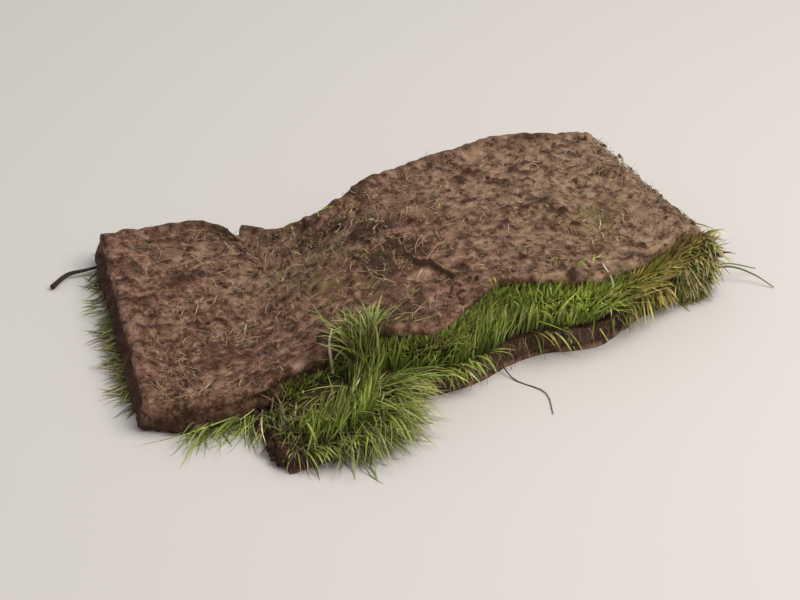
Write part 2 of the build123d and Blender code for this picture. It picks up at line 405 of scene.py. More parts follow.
def tear_place(s):
    """Where the tear is in plan along x."""
    return s.tear_from_end - s.hump_back - s.slope_back - s.free_back


def lower_reach(y, s):
    """The lower layer's free end: where the slope meets the pinched grass, by the smooth step's inverse."""
    height = (s.crumbled_thickness + s.pinched_grass - s.crushed_grass) / (s.turn_height - free_top(s))
    share = 0.5 - math.sin(math.asin(1 - 2 * height) / 3)
    hump, slope, _ = stretches(np.maximum(y, -s.corner_length / 2), s)
    return hump + slope * (1 - share)


def top_length(s):
    """The top layer's length at the front edge line, which the edges' curves take their shares of."""
    return s.hump_front + s.slope_front + s.free_front


def turn_knot(s):
    """The first knot of both front edges' waves, at the turn."""
    return (0.5 * s.turn_height / top_length(s), s.turn_front / s.edge_wave)


def top_front(x, s):
    """The top layer's front edge in plan: the curve through its wave, starting at the turn."""
    return curve_through((turn_knot(s),) + TOP_FRONT_WAVE, -x / top_length(s)) * s.edge_wave


def lower_front(x, s):
    """The lower layer's front edge in plan: the curve through its wave, or the corner in front of that."""
    wave = curve_through((turn_knot(s),) + LOWER_FRONT_WAVE, -x / top_length(s)) * s.edge_wave
    right = -lower_reach(-s.corner_length / 2, s) + s.corner_width
    corner = np.maximum(x - right, 0) / s.corner_slant * s.corner_length - s.corner_length
    return np.minimum(wave, corner)


def back_edge(x, s):
    """Both layers' back edge in plan: the flare's curve, with the tear cut in as a V."""
    edge = s.strip_width + curve_through(BACK_EDGE, -x / top_length(s)) * s.strip_flare
    return np.minimum(edge, s.strip_width + s.tear_tip + s.tear_slope * np.abs(x - tear_place(s)))


def lower_thickness(x, y, s):
    """Full up to crumbled_length before the free end, then evenly down to the crumbled thickness."""
    share = np.clip((-x - lower_reach(y, s) + s.crumbled_length) / s.crumbled_length, 0, 1)
    return s.mat_thickness + (s.crumbled_thickness - s.mat_thickness) * share


def crown(share, s):
    """The hump's rise, level at both ends: 16 times the square of share times what is left of it."""
    share = np.clip(share, 0, 1)
    return 16 * s.crown * (share * (1 - share)) ** 2


def hollow(x, y, s):
    """Heights of the roof and the floor between the layers: their grass faces, or the arc in the turn."""
    radius = s.turn_height / 2
    in_turn = x > -radius
    half = np.sqrt(np.maximum((radius - s.mat_thickness) ** 2 - np.maximum(x + radius, 0) ** 2, 0))
    roof = np.where(in_turn, radius + half, top_height(x, y, s) - s.mat_thickness)
    floor = np.where(in_turn, radius - half, lower_thickness(x, y, s))
    return roof, floor


def top_height(x, y, s):
    """Height of the top layer's soil face: level, a smooth step up, the crown, and the turn's arc."""
    radius = s.turn_height / 2
    hump, slope, _ = stretches(y, s)
    height = free_top(s) + smooth((x + hump + slope) / slope) * (s.turn_height - free_top(s))
    height = height + crown((x + hump) / (hump - radius), s)
    arc = np.sqrt(np.maximum(radius**2 - np.maximum(x + radius, 0) ** 2, 0)) - radius
    return height + arc


def section_point(u, y, depth, s):
    """(x, z) on the section at y. Depth 0 is the soil face and 1 the grass face.

    Each unit of u is one stretch: level, a smooth step up, the crown, half a circle, and level on the ground.
    """
    radius = s.turn_height / 2
    hump, slope, free = stretches(y, s)
    part = np.clip(u - np.floor(np.minimum(u, 4.999)), 0, 1)
    angle = np.pi * (0.5 - part)
    reach = lower_reach(y, s)
    arc_radius = radius - s.mat_thickness * depth
    lower_x = -radius - part * (reach - radius)
    stretch = [u < 1, u < 2, u < 3, u < 4]
    free_x = -hump - slope - (free + s.free_end_lean * depth) * (1 - part)
    slope_x = -hump - slope * (1 - part)
    hump_x = -hump + part * (hump - radius)
    x = np.select(stretch, [free_x, slope_x, hump_x, -radius + arc_radius * np.cos(angle)], lower_x)
    low = free_top(s)
    drop = s.mat_thickness * depth
    slope_z = low + smooth(part) * (s.turn_height - low) - drop
    hump_z = s.turn_height + crown(part, s) - drop
    turn_z = radius + arc_radius * np.sin(angle)
    z = np.select(stretch, [low - drop, slope_z, hump_z, turn_z], lower_thickness(lower_x, y, s) * depth)
    return x, z


def strip_point(u, v, depth, s):
    """A point of the mat. Its x and y depend on each other through the edges, so they are found in turns."""
    u, v, depth = np.broadcast_arrays(u, v, depth)
    y = v * s.strip_width
    for _ in range(SETTLING):
        x, z = section_point(u, y, depth, s)
        front = np.where(u < 3.5, top_front(x, s), lower_front(x, s))
        y = front + v * (back_edge(x, s) - front)
    return np.stack([x, y, z], -1)


def crack_distance(points, s):
    """Distance in plan to the long crack across the hump, whose line is bent by noise."""
    bend = np.stack([noise(points, *settings) for settings in CRACK_BENDS], -1)
    from_start = points[..., :2] + 0.006 * bend - CRACK_START
    line = CRACK_END - CRACK_START
    share = np.clip((from_start @ line) / (line @ line), 0, 1)
    flat = np.linalg.norm(from_start - share[..., None] * line, axis=-1)
    return np.where(points[..., 2] > s.turn_height / 2, flat, 1.0)


def soil_relief(points, s):
    """How far the soil face stands out: lumps, matted fibres, roots and clods, less pits and cracks.

    Lumps and grain are fractal noise, fibres are noise of stretched points, a root is a narrow bell where a
    noise passes through zero, a clod is the part of a cell nearer than 0.5 to its middle, a pit is a bell
    round a cell's middle, and a crack is a narrow bell where a broader noise passes through zero.
    """
    look = bpy.context.scene.turf_soil
    bent = points + 0.004 * noise(points, *BEND_NOISE)[..., None]
    lumps = fractal(points, *LUMP_NOISE) * look.lump_height
    grain = fractal(points, *GRAIN_NOISE) * look.grain_height
    along = fractal(points * np.array((0.3, 1.0, 1.0)), *ALONG_NOISE)
    across = fractal(points * np.array((1.0, 0.35, 1.0)), *ACROSS_NOISE)
    fibres = (along + 0.7 * across) * 0.5 * look.grain_height
    roots = bell(noise(bent, *ROOT_NOISE) / 0.12) * 0.6 * look.clod_height
    clods = smooth((0.5 - cells(bent, *CLOD_CELLS)) / 0.5) * look.clod_height
    pits = bell(cells(bent, *PIT_CELLS) / 0.2) * 1.4 * look.crack_depth
    cracked = smooth(noise(points, *CRACKED_NOISE) * 1.6 + 0.4)
    cracks = bell(noise(bent, *CRACK_NOISE) / 0.07) * cracked * 0.9 * look.crack_depth
    long_crack = bell(crack_distance(points, s) / 0.0024) * 2.0 * look.crack_depth
    return lumps + grain + fibres + roots + clods - pits - cracks - long_crack


def place(points, s):
    """From the strip's coordinates to the object's, by where the mat's box has the turn and the front."""
    return points + np.array((MAT_HIGH.x, MAT_LOW.y + s.corner_length, 0.0))


def unit(vectors):
    """Vectors divided by their own lengths."""
    return vectors / np.maximum(np.linalg.norm(vectors, axis=-1, keepdims=True), 1e-12)


def build_mesh(name, points, faces, colours=None, values=None):
    """A mesh object from whole arrays: faces is a list of arrays with one corner count each."""
    mesh = bpy.data.meshes.new(name)
    mesh.vertices.add(len(points))
    mesh.vertices.foreach_set("co", np.ascontiguousarray(points, np.float32).ravel())
    corners = np.concatenate([f.ravel() for f in faces]).astype(np.int32)
    counts = np.concatenate([np.full(len(f), f.shape[1]) for f in faces])
    starts = np.concatenate([[0], np.cumsum(counts)[:-1]]).astype(np.int32)
    mesh.loops.add(len(corners))
    mesh.loops.foreach_set("vertex_index", corners)
    mesh.polygons.add(len(counts))
    mesh.polygons.foreach_set("loop_start", starts)
    mesh.polygons.foreach_set("use_smooth", np.ones(len(counts), bool))
    if colours is not None:
        layer = mesh.attributes.new("tint", "FLOAT_COLOR", "POINT")
        rgba = np.concatenate([colours, np.ones((len(colours), 1))], 1)
        layer.data.foreach_set("color", np.ascontiguousarray(rgba, np.float32).ravel())
    for key, value in (values or {}).items():
        layer = mesh.attributes.new(key, "FLOAT", "POINT")
        layer.data.foreach_set("value", np.ascontiguousarray(value, np.float32))
    mesh.update(calc_edges=True)
    mesh.validate()
    piece = bpy.data.objects.new(name, mesh)
    bpy.context.scene.collection.objects.link(piece)
    return piece


def grid_quads(rows, columns, closed):
    """Quads of a grid of points, whose last column joins the first one where it is closed."""
    r = np.arange(rows - 1)[:, None]
    c = np.arange(columns if closed else columns - 1)[None, :]
    right = (c + 1) % columns
    quads = [r * columns + c, r * columns + right, (r + 1) * columns + right, (r + 1) * columns + c]
    return np.stack([np.broadcast_to(q, quads[0].shape) for q in quads], -1).reshape(-1, 4)


def grid_normals(points):
    """Normals of a grid that is closed across its columns: the cross product of its central differences."""
    along = np.gradient(points, axis=0)
    across = np.roll(points, -1, 1) - np.roll(points, 1, 1)
    return unit(np.cross(across, along))


def weld(piece, distance):
    """Merges points that coincide, as at the ends where a closed section shrinks to a line."""
    mesh = bmesh.new()
    mesh.from_mesh(piece.data)
    bmesh.ops.remove_doubles(mesh, verts=mesh.verts, dist=distance)
    bmesh.ops.dissolve_degenerate(mesh, edges=mesh.edges, dist=distance)
    mesh.to_mesh(piece.data)
    mesh.free()


def add_piece(name, points, faces, material, slot, s, replaced=(), welded=0.0, **data):
    """Builds a piece from points in the strip's coordinates, welds it if asked, and gives it to the frame."""
    piece = build_mesh(name, place(points, s).reshape(-1, 3), faces, **data)
    if welded:
        weld(piece, welded)
    piece.data.materials.append(material)
    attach(piece, "root")
    if replaced:
        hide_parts(*replaced)


def tubes(paths, radii, sides):
    """Tubes along many paths at once: at each point a ring of sides points, square to the path.

    The ring's axes are the cross product of the path's direction with up, and the cross product of the two.
    """
    count, steps = paths.shape[:2]
    forward = unit(np.gradient(paths, axis=1))
    steep = np.abs(forward[..., 2:3]) > 0.9
    up = np.where(steep, np.array((1.0, 0.0, 0.0)), np.array((0.0, 0.0, 1.0)))
    side = unit(np.cross(forward, up))
    other = np.cross(side, forward)
    angle = 2 * np.pi * np.arange(sides) / sides
    ring = side[:, :, None] * np.cos(angle)[:, None] + other[:, :, None] * np.sin(angle)[:, None]
    points = paths[:, :, None] + ring * radii[:, :, None, None]
    starts = np.arange(count)[:, None] * steps * sides
    quads = grid_quads(steps, sides, True) + starts[..., None]
    first = np.arange(sides) + starts
    last = first[:, ::-1] + (steps - 1) * sides
    return points.reshape(-1, 3), [quads.reshape(-1, 4), np.concatenate([first, last])]


def add_strands(name, paths, radii, sides, shade, s):
    """Root strands as tubes, each in the roots' colour times its shade."""
    verts, faces = tubes(paths, radii, sides)
    colour = np.array(tuple(bpy.context.scene.turf_soil.root_colour)) * shade[:, None]
    colours = np.repeat(colour, paths.shape[1] * sides, 0)
    add_piece(name, verts, faces, fibre_material(), "soil", s, colours=colours)


def lumps(centres, radii, rng):
    """Small clods: rings of points and two poles, each point's distance changed at random."""
    polar = np.pi * (np.arange(LUMP_RINGS) + 1) / (LUMP_RINGS + 1)
    turn = 2 * np.pi * np.arange(LUMP_AROUND) / LUMP_AROUND
    polar, turn = np.meshgrid(polar, turn, indexing="ij")
    ball = np.stack([np.sin(polar) * np.cos(turn), np.sin(polar) * np.sin(turn), np.cos(polar)], -1)
    ball = np.concatenate([ball.reshape(-1, 3), [[0, 0, 1], [0, 0, -1]]])
    wobble = rng.uniform(0.6, 1.25, (len(centres), LUMP_POINTS, 1))
    stretch = rng.uniform(0.65, 1.25, (len(centres), 1, 3)) * np.array((1.0, 1.0, 0.8))
    points = centres[:, None] + ball * wobble * stretch * radii[:, None, None]
    here = np.arange(LUMP_AROUND)
    after = (here + 1) % LUMP_AROUND
    low = (LUMP_RINGS - 1) * LUMP_AROUND
    top_cap = np.stack([np.full(LUMP_AROUND, LUMP_POINTS - 2), here, after], -1)
    low_cap = np.stack([np.full(LUMP_AROUND, LUMP_POINTS - 1), low + after, low + here], -1)
    quads = grid_quads(LUMP_RINGS, LUMP_AROUND, True)[:, ::-1]
    starts = (np.arange(len(centres)) * LUMP_POINTS)[:, None, None]
    caps = np.concatenate([top_cap, low_cap])
    return points.reshape(-1, 3), [(quads + starts).reshape(-1, 4), (caps + starts).reshape(-1, 3)]


def soil_surface(u, v, s):
    """Points of the soil face with its relief, and its normals: the cross product of steps in u and v."""
    step = 1e-3
    base = strip_point(u, v, 0.0, s)
    along = strip_point(np.minimum(u + step, 5), v, 0.0, s) - strip_point(np.maximum(u - step, 0), v, 0.0, s)
    across = strip_point(u, np.minimum(v + step, 1), 0.0, s) - strip_point(u, np.maximum(v - step, 0), 0.0, s)
    normal = unit(np.cross(along, across))
    return base + normal * soil_relief(base, s)[..., None], normal


def stretch_lengths(u):
    """Rough length in metres of the stretch of the strip that u lies on."""
    return np.select([u < 1, u < 2, u < 3, u < 4], ROUGH_LENGTHS, ROUGH_LOWER_LENGTH)


def over_soil(u, v, heading, length, steps, wander, s, rng):
    """Paths over the soil face: the heading in u and v drifts at random, and equal steps are added up."""
    turns = rng.normal(0, wander, (len(u), steps)).cumsum(1)
    angle = heading[:, None] + turns
    step = (length / (steps - 1))[:, None]
    us = u[:, None] + np.cumsum(np.cos(angle) * step, 1) / stretch_lengths(u)[:, None]
    vs = v[:, None] + np.cumsum(np.sin(angle) * step, 1) / s.strip_width
    return np.clip(us, 0.002, 4.9), np.clip(vs, 0.002, 0.998)


def confine(points, s, over_edge):
    """Keeps grass out of the soil: above the ground, above the lower layer, and under or over the top one.

    A point more than 5 mm above the turn's height is lowered by an exponential, and none rises past 13 mm.
    In plan inside the top layer, a point in the upper part of its thickness is lifted onto it, or moved out
    in front of its edge where the blades don't hang over it, and one in the lower part is pushed down under.
    """
    x, y, z = points[..., 0], points[..., 1], points[..., 2]
    edge = top_front(x, s)
    inside_back = (y < back_edge(x, s)) & (x < 0)
    in_top = (y > edge) & inside_back & (x > -sum(stretches(y, s)))
    in_lower = (y > lower_front(x, s)) & inside_back & (x > -lower_reach(y, s))
    top = top_height(x, y, s)
    roof, floor = hollow(x, y, s)
    over = in_top & (z > top - 0.5 * s.mat_thickness)
    before = over & (y < edge + 0.015) & (not over_edge)
    z = np.where(over & ~before, np.maximum(z, top + 8 * CLEARANCE), z)
    z = np.where(in_top & ~over, np.minimum(z, roof - CLEARANCE), z)
    z = np.where(in_lower & ~over, np.maximum(z, floor + CLEARANCE), z)
    y = np.where(before, edge - 2 * CLEARANCE, y)
    low, room = s.turn_height + 0.005, 0.008
    z = np.where(z > low, low + room * (1 - np.exp(-np.maximum(z - low, 0) / room)), z)
    return np.stack([x, y, np.maximum(z, CLEARANCE)], -1)


def blade_paths(roots, headings, lengths, droop, curl, steps, s, over_edge):
    """Paths of blades: a step goes along the heading, plus droop downwards and curl sideways by its share.

    The share is how far along the blade the step is. The steps are added up and kept out of the soil.
    """
    share = np.linspace(0, 1, steps)[:, None]
    side = unit(np.cross(headings, np.array((0.0, 0.0, 1.0))))[:, None]
    down = np.array((0.0, 0.0, -1.0))
    moves = headings[:, None] + droop[:, None, None] * share * down + curl[:, None, None] * share * side
    moves = unit(moves) * (lengths / (steps - 1))[:, None, None]
    moves[:, 0] = 0
    return confine(roots[:, None] + np.cumsum(moves, 1), s, over_edge)


def blade_mesh(paths, widths, twist):
    """Blades as ribbons of three points across: the middle one lies lower, which makes a shallow V.

    The width grows over the first fifth, holds, and falls to a point by a power of the share along. The
    ribbon's side is the cross product of the path's direction with an axis that twist leans from up.
    """
    count, steps = paths.shape[:2]
    forward = unit(np.gradient(paths, axis=1))
    turn, lean = twist[:, 0], twist[:, 1]
    axis = np.stack([np.cos(turn) * np.sin(lean), np.sin(turn) * np.sin(lean), np.cos(lean)], -1)
    side = unit(np.cross(forward, axis[:, None]))
    face = np.cross(side, forward)
    share = np.linspace(0, 1, steps)
    profile = (0.6 + 0.4 * smooth(share / 0.2)) * (1 - np.clip((share - 0.4) / 0.6, 0, 1) ** 1.7) + 0.04
    half = (0.5 * widths[:, None] * profile)[..., None]
    points = np.stack([paths - side * half, paths - face * (BLADE_FOLD * 2 * half), paths + side * half], 2)
    quads = grid_quads(steps, 3, False) + (np.arange(count) * steps * 3)[:, None, None]
    return points.reshape(-1, 3), [quads.reshape(-1, 4)]


def blade_tints(count, steps, kinds, rng, level):
    """Colours of blades: one of the palette's kinds each, by weight, brighter or darker at random.

    A blade is mixed with a second kind, is dull at its foot and dry at its tip, and is darker at its foot and
    brighter along it as painted shade and light.
    """
    look = bpy.context.scene.turf_grass
    chances = np.array(list(kinds.values()), float)
    chances = chances / chances.sum()
    palette = np.array([tuple(getattr(look, name)) for name in kinds])
    colour = palette[rng.choice(len(kinds), count, p=chances)] * rng.uniform(0.72, 1.25, (count, 1)) * level
    neighbour = palette[rng.choice(len(kinds), count, p=chances)]
    colour = colour + (neighbour - colour) * rng.uniform(0, 0.35, (count, 1))
    share = np.linspace(0, 1, steps)[:, None]
    straw = np.array(tuple(look.straw)) * 0.8
    foot = np.clip(1 - share / 0.22, 0, 1) * 0.3
    dry_tip = np.clip((share - 0.86) / 0.14, 0, 1) * rng.uniform(0, 0.9, (count, 1, 1))
    tint = colour[:, None] * (1 - foot) + straw * foot
    # Painted shade and light: the blade is darker at its foot and brighter towards its tip
    tint = (tint * (1 - dry_tip) + straw * dry_tip) * (0.5 + 0.75 * smooth(share / 0.8))
    return np.repeat(tint[:, :, None], 3, 2).reshape(-1, 3)


def headings_from(turn, lift):
    """Unit directions from the angle in plan, measured from +x, and the angle above the level."""
    return np.stack([np.cos(turn) * np.cos(lift), np.sin(turn) * np.cos(lift), np.sin(lift)], -1)


def grow(
    name, roots, turn, lift, lengths, widths, droop, kinds, rng, s,
    steps=8, curl=0.5, bright=1.0, over_edge=False,
):
    """One joined mesh of blades that grow from roots. Neighbours are alike, by noises of the place.

    Given as a pair, turn is a mean and a spread in degrees, lift the limits of an even law in degrees,
    lengths and widths its limits in shares of a full blade, and droop its limits.
    """
    look, count = bpy.context.scene.turf_grass, len(roots)
    if isinstance(turn, tuple):
        turn = np.radians(rng.normal(*turn, count))
    if isinstance(lift, tuple):
        lift = np.radians(rng.uniform(*lift, count))
    if isinstance(lengths, tuple):
        lengths = look.blade_length * rng.uniform(*lengths, count)
    if isinstance(widths, tuple):
        widths = look.blade_width * rng.uniform(*widths, count)
    if isinstance(droop, tuple):
        droop = rng.uniform(*droop, count)
    curls = rng.normal(0, curl, count)
    turn = turn + 0.6 * noise(roots, *TURN_NOISE)
    droop = droop + 0.5 * noise(roots, *DROOP_NOISE)
    lengths = lengths * (1 + 0.22 * noise(roots, *LENGTH_NOISE))
    shade = 1 + 0.42 * noise(roots, *SHADE_NOISE) + 0.2 * noise(roots, *FINE_SHADE_NOISE)
    paths = blade_paths(roots, headings_from(turn, lift), lengths, droop, curls, steps, s, over_edge)
    twist = np.stack([rng.uniform(0, 2 * np.pi, count), rng.uniform(0, 0.9, count)], -1)
    points, faces = blade_mesh(paths, widths, twist)
    colours = blade_tints(count, steps, kinds, rng, bright * shade[:, None])
    add_piece(name, points, faces, grass_material(), "grass", s, colours=colours)


def node(tree, kind, inputs=(), **settings):
    """A new node with its settings, and with its inputs set, or linked where they are sockets."""
    made = tree.nodes.new(kind)
    for key, value in settings.items():
        setattr(made, key, value)
    for key, value in dict(inputs).items():
        if isinstance(value, bpy.types.NodeSocket):
            tree.links.new(value, made.inputs[key])
        else:
            made.inputs[key].default_value = value
    return made


def rgba(colour):
    return (*tuple(colour), 1.0)


def mixed(tree, share, first, second, blend="MIX"):
    """Colour socket of a mix of two colours by share; each may be a colour or a socket."""
    inputs = {0: share, 6: first, 7: second}
    return node(tree, "ShaderNodeMix", inputs, data_type="RGBA", blend_type=blend).outputs[2]


def ranged(tree, value, low, high, new_low=0.0, new_high=1.0):
    inputs = {"Value": value, "From Min": low, "From Max": high, "To Min": new_low, "To Max": new_high}
    return node(tree, "ShaderNodeMapRange", inputs).outputs[0]


def noise_socket(tree, place_socket, scale, detail, roughness):
    inputs = {"Vector": place_socket, "Scale": scale, "Detail": detail, "Roughness": roughness}
    return node(tree, "ShaderNodeTexNoise", inputs).outputs["Fac"]


def add_bump(tree, shader, height, strength, distance):
    bump = node(tree, "ShaderNodeBump", {"Height": height, "Strength": strength, "Distance": distance})
    tree.links.new(bump.outputs[0], shader.inputs["Normal"])


def new_material(name, roughness, specular):
    """A material with a shader of that roughness and specular level, and its tree and shader."""
    material = bpy.data.materials.new(name)
    material.use_nodes = True
    tree = material.node_tree
    tree.nodes.clear()
    inputs = {"Roughness": roughness, "Specular IOR Level": specular}
    shader = node(tree, "ShaderNodeBsdfPrincipled", inputs)
    node(tree, "ShaderNodeOutputMaterial", {0: shader.outputs[0]})
    return material, tree, shader


def soil_material():
    """Earth matted with roots: red-brown, paler near the turn with painted light in the dip, darker in
    patches, and painted shade in pits, cracks, at the front edge and on the cut faces, which are also wet.
    """
    if "turf_soil" in bpy.data.materials:
        return bpy.data.materials["turf_soil"]
    look = bpy.context.scene.turf_soil
    material, tree, shader = new_material("turf_soil", 0.93, 0.2)
    place_socket = node(tree, "ShaderNodeTexCoord").outputs["Object"]
    blotches = noise_socket(tree, place_socket, 62.0, 5.0, 0.62)
    flecks = noise_socket(tree, place_socket, 150.0, 4.0, 0.6)
    grains = noise_socket(tree, place_socket, 420.0, 4.0, 0.6)
    specks = node(tree, "ShaderNodeTexVoronoi", {"Vector": place_socket, "Scale": 300.0}).outputs["Distance"]
    own = {name: node(tree, "ShaderNodeAttribute", attribute_name=name).outputs["Fac"] for name in SOIL_MARKS}
    root, dark, moss = rgba(look.root_colour), rgba(look.dark_soil_and_shade), rgba(linear(116, 106, 58))
    # Each layer: the pattern, the range of it over which the layer comes in, its most, and its colour
    layers = (
        (blotches, 0.52, 0.68, 0.6, rgba(linear(164, 134, 110))),
        (blotches, 0.53, 0.37, 0.9, rgba(linear(70, 45, 32))),
        (flecks, 0.54, 0.68, 0.7, rgba(linear(178, 150, 124))),
        (flecks, 0.48, 0.38, 0.9, rgba(linear(58, 37, 25))),
        (grains, 0.52, 0.7, 0.45, rgba(linear(176, 150, 126))),
        (specks, 0.17, 0.05, 0.4, root),
    )
    # Paler where the soil is dry near the turn, and painted light in the dip.
    colour = mixed(tree, own["dry"], rgba(look.red_soil), rgba(look.pale_soil))
    for pattern, low, high, most, tone in layers:
        colour = mixed(tree, ranged(tree, pattern, low, high, 0.0, most), colour, tone)
    colour = mixed(tree, own["mossy"], colour, moss)
    # Painted shade: the deeper a pit or crack, the darker.
    colour = mixed(tree, ranged(tree, own["relief"], 0.0, -0.0028, 0.0, 0.95), colour, dark)
    # Darker patches, and painted shadow at the front edge.
    colour = mixed(tree, own["damp"], colour, dark)
    # Painted shade on the cut faces, whose soil is also wet.
    colour = mixed(tree, ranged(tree, own["cut"], 0.25, 1.0, 0.0, 0.72), colour, dark)
    tree.links.new(colour, shader.inputs["Base Color"])
    add_bump(tree, shader, noise_socket(tree, place_socket, 600.0, 5.0, 0.65), 0.9, 0.0016)
    return material


def soil_marks(points, s):
    """Shares of the soil that are paler, darker and mossy: bells round places on the strip, broken by noise.
    Paler is dry soil near the turn and painted light in the dip; darker is dark patches and painted shadow at
    the front edge.
    """
    x, y = points[..., 0], points[..., 1]
    broken = fractal(points, *MARK_NOISE)
    top = points[..., 2] > 0.3 * s.turn_height
    # Painted light: the dip faces away from the lamp, and its soil is made paler
    painted_dip_light = bell((x + 0.31) / 0.04) * smooth((y - 0.07) / 0.05) * top
    dry = smooth((x + 0.30) / 0.26 + 0.35 * broken) + 0.6 * painted_dip_light
    slope = bell((x + 0.235) / 0.038) * smooth(y / 0.04)
    back = bell(np.maximum(back_edge(x, s) - y, 0) / 0.007)
    # Painted shadow at the soil's front edge above the fringe
    front = spot(points, *FRONT_SHADOW_SPOT) * top
    rise = spot(points, *RISE_SPOT) * top
    damp = 0.6 * slope * smooth(broken * 2.4 + 0.4) + back * smooth(broken + 0.6) * 0.6
    damp = damp + 0.9 * spot(points, *TEAR_SPOT)
    damp = damp + 0.75 * front * smooth(broken * 2 + 0.75) + 0.9 * rise * smooth(broken * 3.0 + 0.45)
    mossy = 0.6 * (spot(points, *DIP_SPOT) * top) + 0.5 * (spot(points, *PATCH_SPOT) * top)
    mossy = mossy * smooth(broken * 2.0 + 0.55) * smooth(noise(points, *MOSS_NOISE) * 1.4 + 0.6)
    return {"dry": np.clip(dry, 0, 1), "damp": np.clip(damp, 0, 0.85), "mossy": mossy}


def tinted_material(name, roughness, specular):
    """A material whose colour is the mesh's own tint, a little brighter and darker by noise."""
    if name in bpy.data.materials:
        return bpy.data.materials[name]
    material, tree, shader = new_material(name, roughness, specular)
    place_socket = node(tree, "ShaderNodeTexCoord").outputs["Object"]
    tint = node(tree, "ShaderNodeAttribute", attribute_name="tint").outputs["Color"]
    streaks = noise_socket(tree, place_socket, 420.0, 3.0, 0.5)
    level = ranged(tree, streaks, 0.3, 0.7, 0.78, 1.2)
    grey = node(tree, "ShaderNodeCombineColor", {0: level, 1: level, 2: level}).outputs[0]
    tree.links.new(mixed(tree, 1.0, tint, grey, "MULTIPLY"), shader.inputs["Base Color"])
    add_bump(tree, shader, streaks, 0.3, 0.0004)
    return material


def grass_material():
    return tinted_material("turf_grass", 0.52, 0.35)


def fibre_material():
    return tinted_material("turf_fibre", 0.85, 0.2)


class TURF_OT_root_mat(bpy.types.Operator):
    """Make the mat of soil and roots, one closed skin with its relief"""

    bl_idname = "turf.root_mat"
    bl_label = "Root mat"

    def execute(self, context):
        """Each point of the skin moves along its normal.

        It moves by the soil's relief on the soil face, by ragged noise on the cuts, and inwards near the
        corners between them. The upper side stays calm round the tear's tip, where the skin turns sharply.
        """
        s, look = context.scene.turf_shape, context.scene.turf_soil
        u, v, depth, shrink = self.section(s)
        base = strip_point(u, v, depth, s)
        upper = u < UPPER_END
        soil_face = (1 - smooth(depth * 4)) * (1 - smooth(shrink * 3))
        to_side = np.minimum(v, 1 - v) * s.strip_width
        to_face = np.minimum(depth, 1 - depth) * s.mat_thickness
        to_end = np.minimum(u * s.free_front, (5 - u) * 0.3)
        gaps = np.sort(np.stack(np.broadcast_arrays(to_side, to_face, to_end)), 0)
        corner = bell((gaps[0] + gaps[1]) / np.where(upper, 0.006, 0.003)) * np.where(upper, 1, 0.5)
        relief = soil_relief(base, s)
        ragged = fractal(base, *CUT_NOISE) * look.cut_roughness
        even = 0.5 + 0.5 * smooth(to_side / 0.012)
        moved = relief * soil_face * even + (ragged + 0.6 * relief) * (1 - soil_face)
        worn = corner * look.edge_wear * (1 + 0.8 * fractal(base, *WEAR_NOISE))
        tip = np.array((tear_place(s), s.strip_width + s.tear_tip))
        calm = smooth((np.linalg.norm(base[..., :2] - tip, axis=-1) - 0.004) / 0.012)
        moved = (moved - worn) * np.where(upper, 0.15 + 0.85 * calm, 1)
        points = base + grid_normals(base) * moved[..., None]
        points[..., 2] = np.maximum(points[..., 2], 0.0)
        # The cut faces are darkened as painted shade, more towards the underside, on soil that is also wet
        cut = np.where(upper, 0.15 + 0.85 * smooth((depth - 0.35) / 0.5), 1)
        cut = (1 - soil_face) * np.maximum(cut, smooth(shrink * 2))
        marks = {"relief": relief, "cut": cut, **soil_marks(base, s)}
        values = {name: marks[name].ravel() for name in SOIL_MARKS}
        quads = grid_quads(*base.shape[:2], True)[:, ::-1]
        add_piece("soil_mat", points, [quads], soil_material(), "soil", s, ("root_mat",), WELD, values=values)
        return {"FINISHED"}

    def section(self, s):
        """Places u, v and depth of the skin's points, and how far each row is shrunk to a line.

        A closed section of soil face, back cut, grass face and front cut is carried along u.
        """
        wide, thick = int(s.strip_width / s.grid_step), int(s.mat_thickness / s.grid_step)
        inner = wide // 3
        cut = np.linspace(0, 1, thick + 1)[1:-1]
        flat = np.ones(thick - 1)
        v = np.concatenate([np.linspace(0, 1, wide + 1), flat, np.linspace(1, 0, inner), 0 * flat])
        depth = np.concatenate([np.zeros(wide + 1), cut, np.ones(inner), cut[::-1]])
        rows = [k + np.arange(n) / n for k, n in enumerate(MAT_ROWS)]
        u = np.concatenate([np.zeros(END_ROWS), *rows, np.full(1 + END_ROWS, 5.0)])[:, None]
        cap = np.linspace(1, 0, END_ROWS + 1)[:-1]
        shrink = np.concatenate([cap, np.zeros(sum(MAT_ROWS) + 1), cap[::-1]])[:, None]
        inset = shrink * s.mat_thickness / 2 / s.strip_width
        return u, inset + v * (1 - 2 * inset), 0.5 + (depth - 0.5) * (1 - shrink), shrink


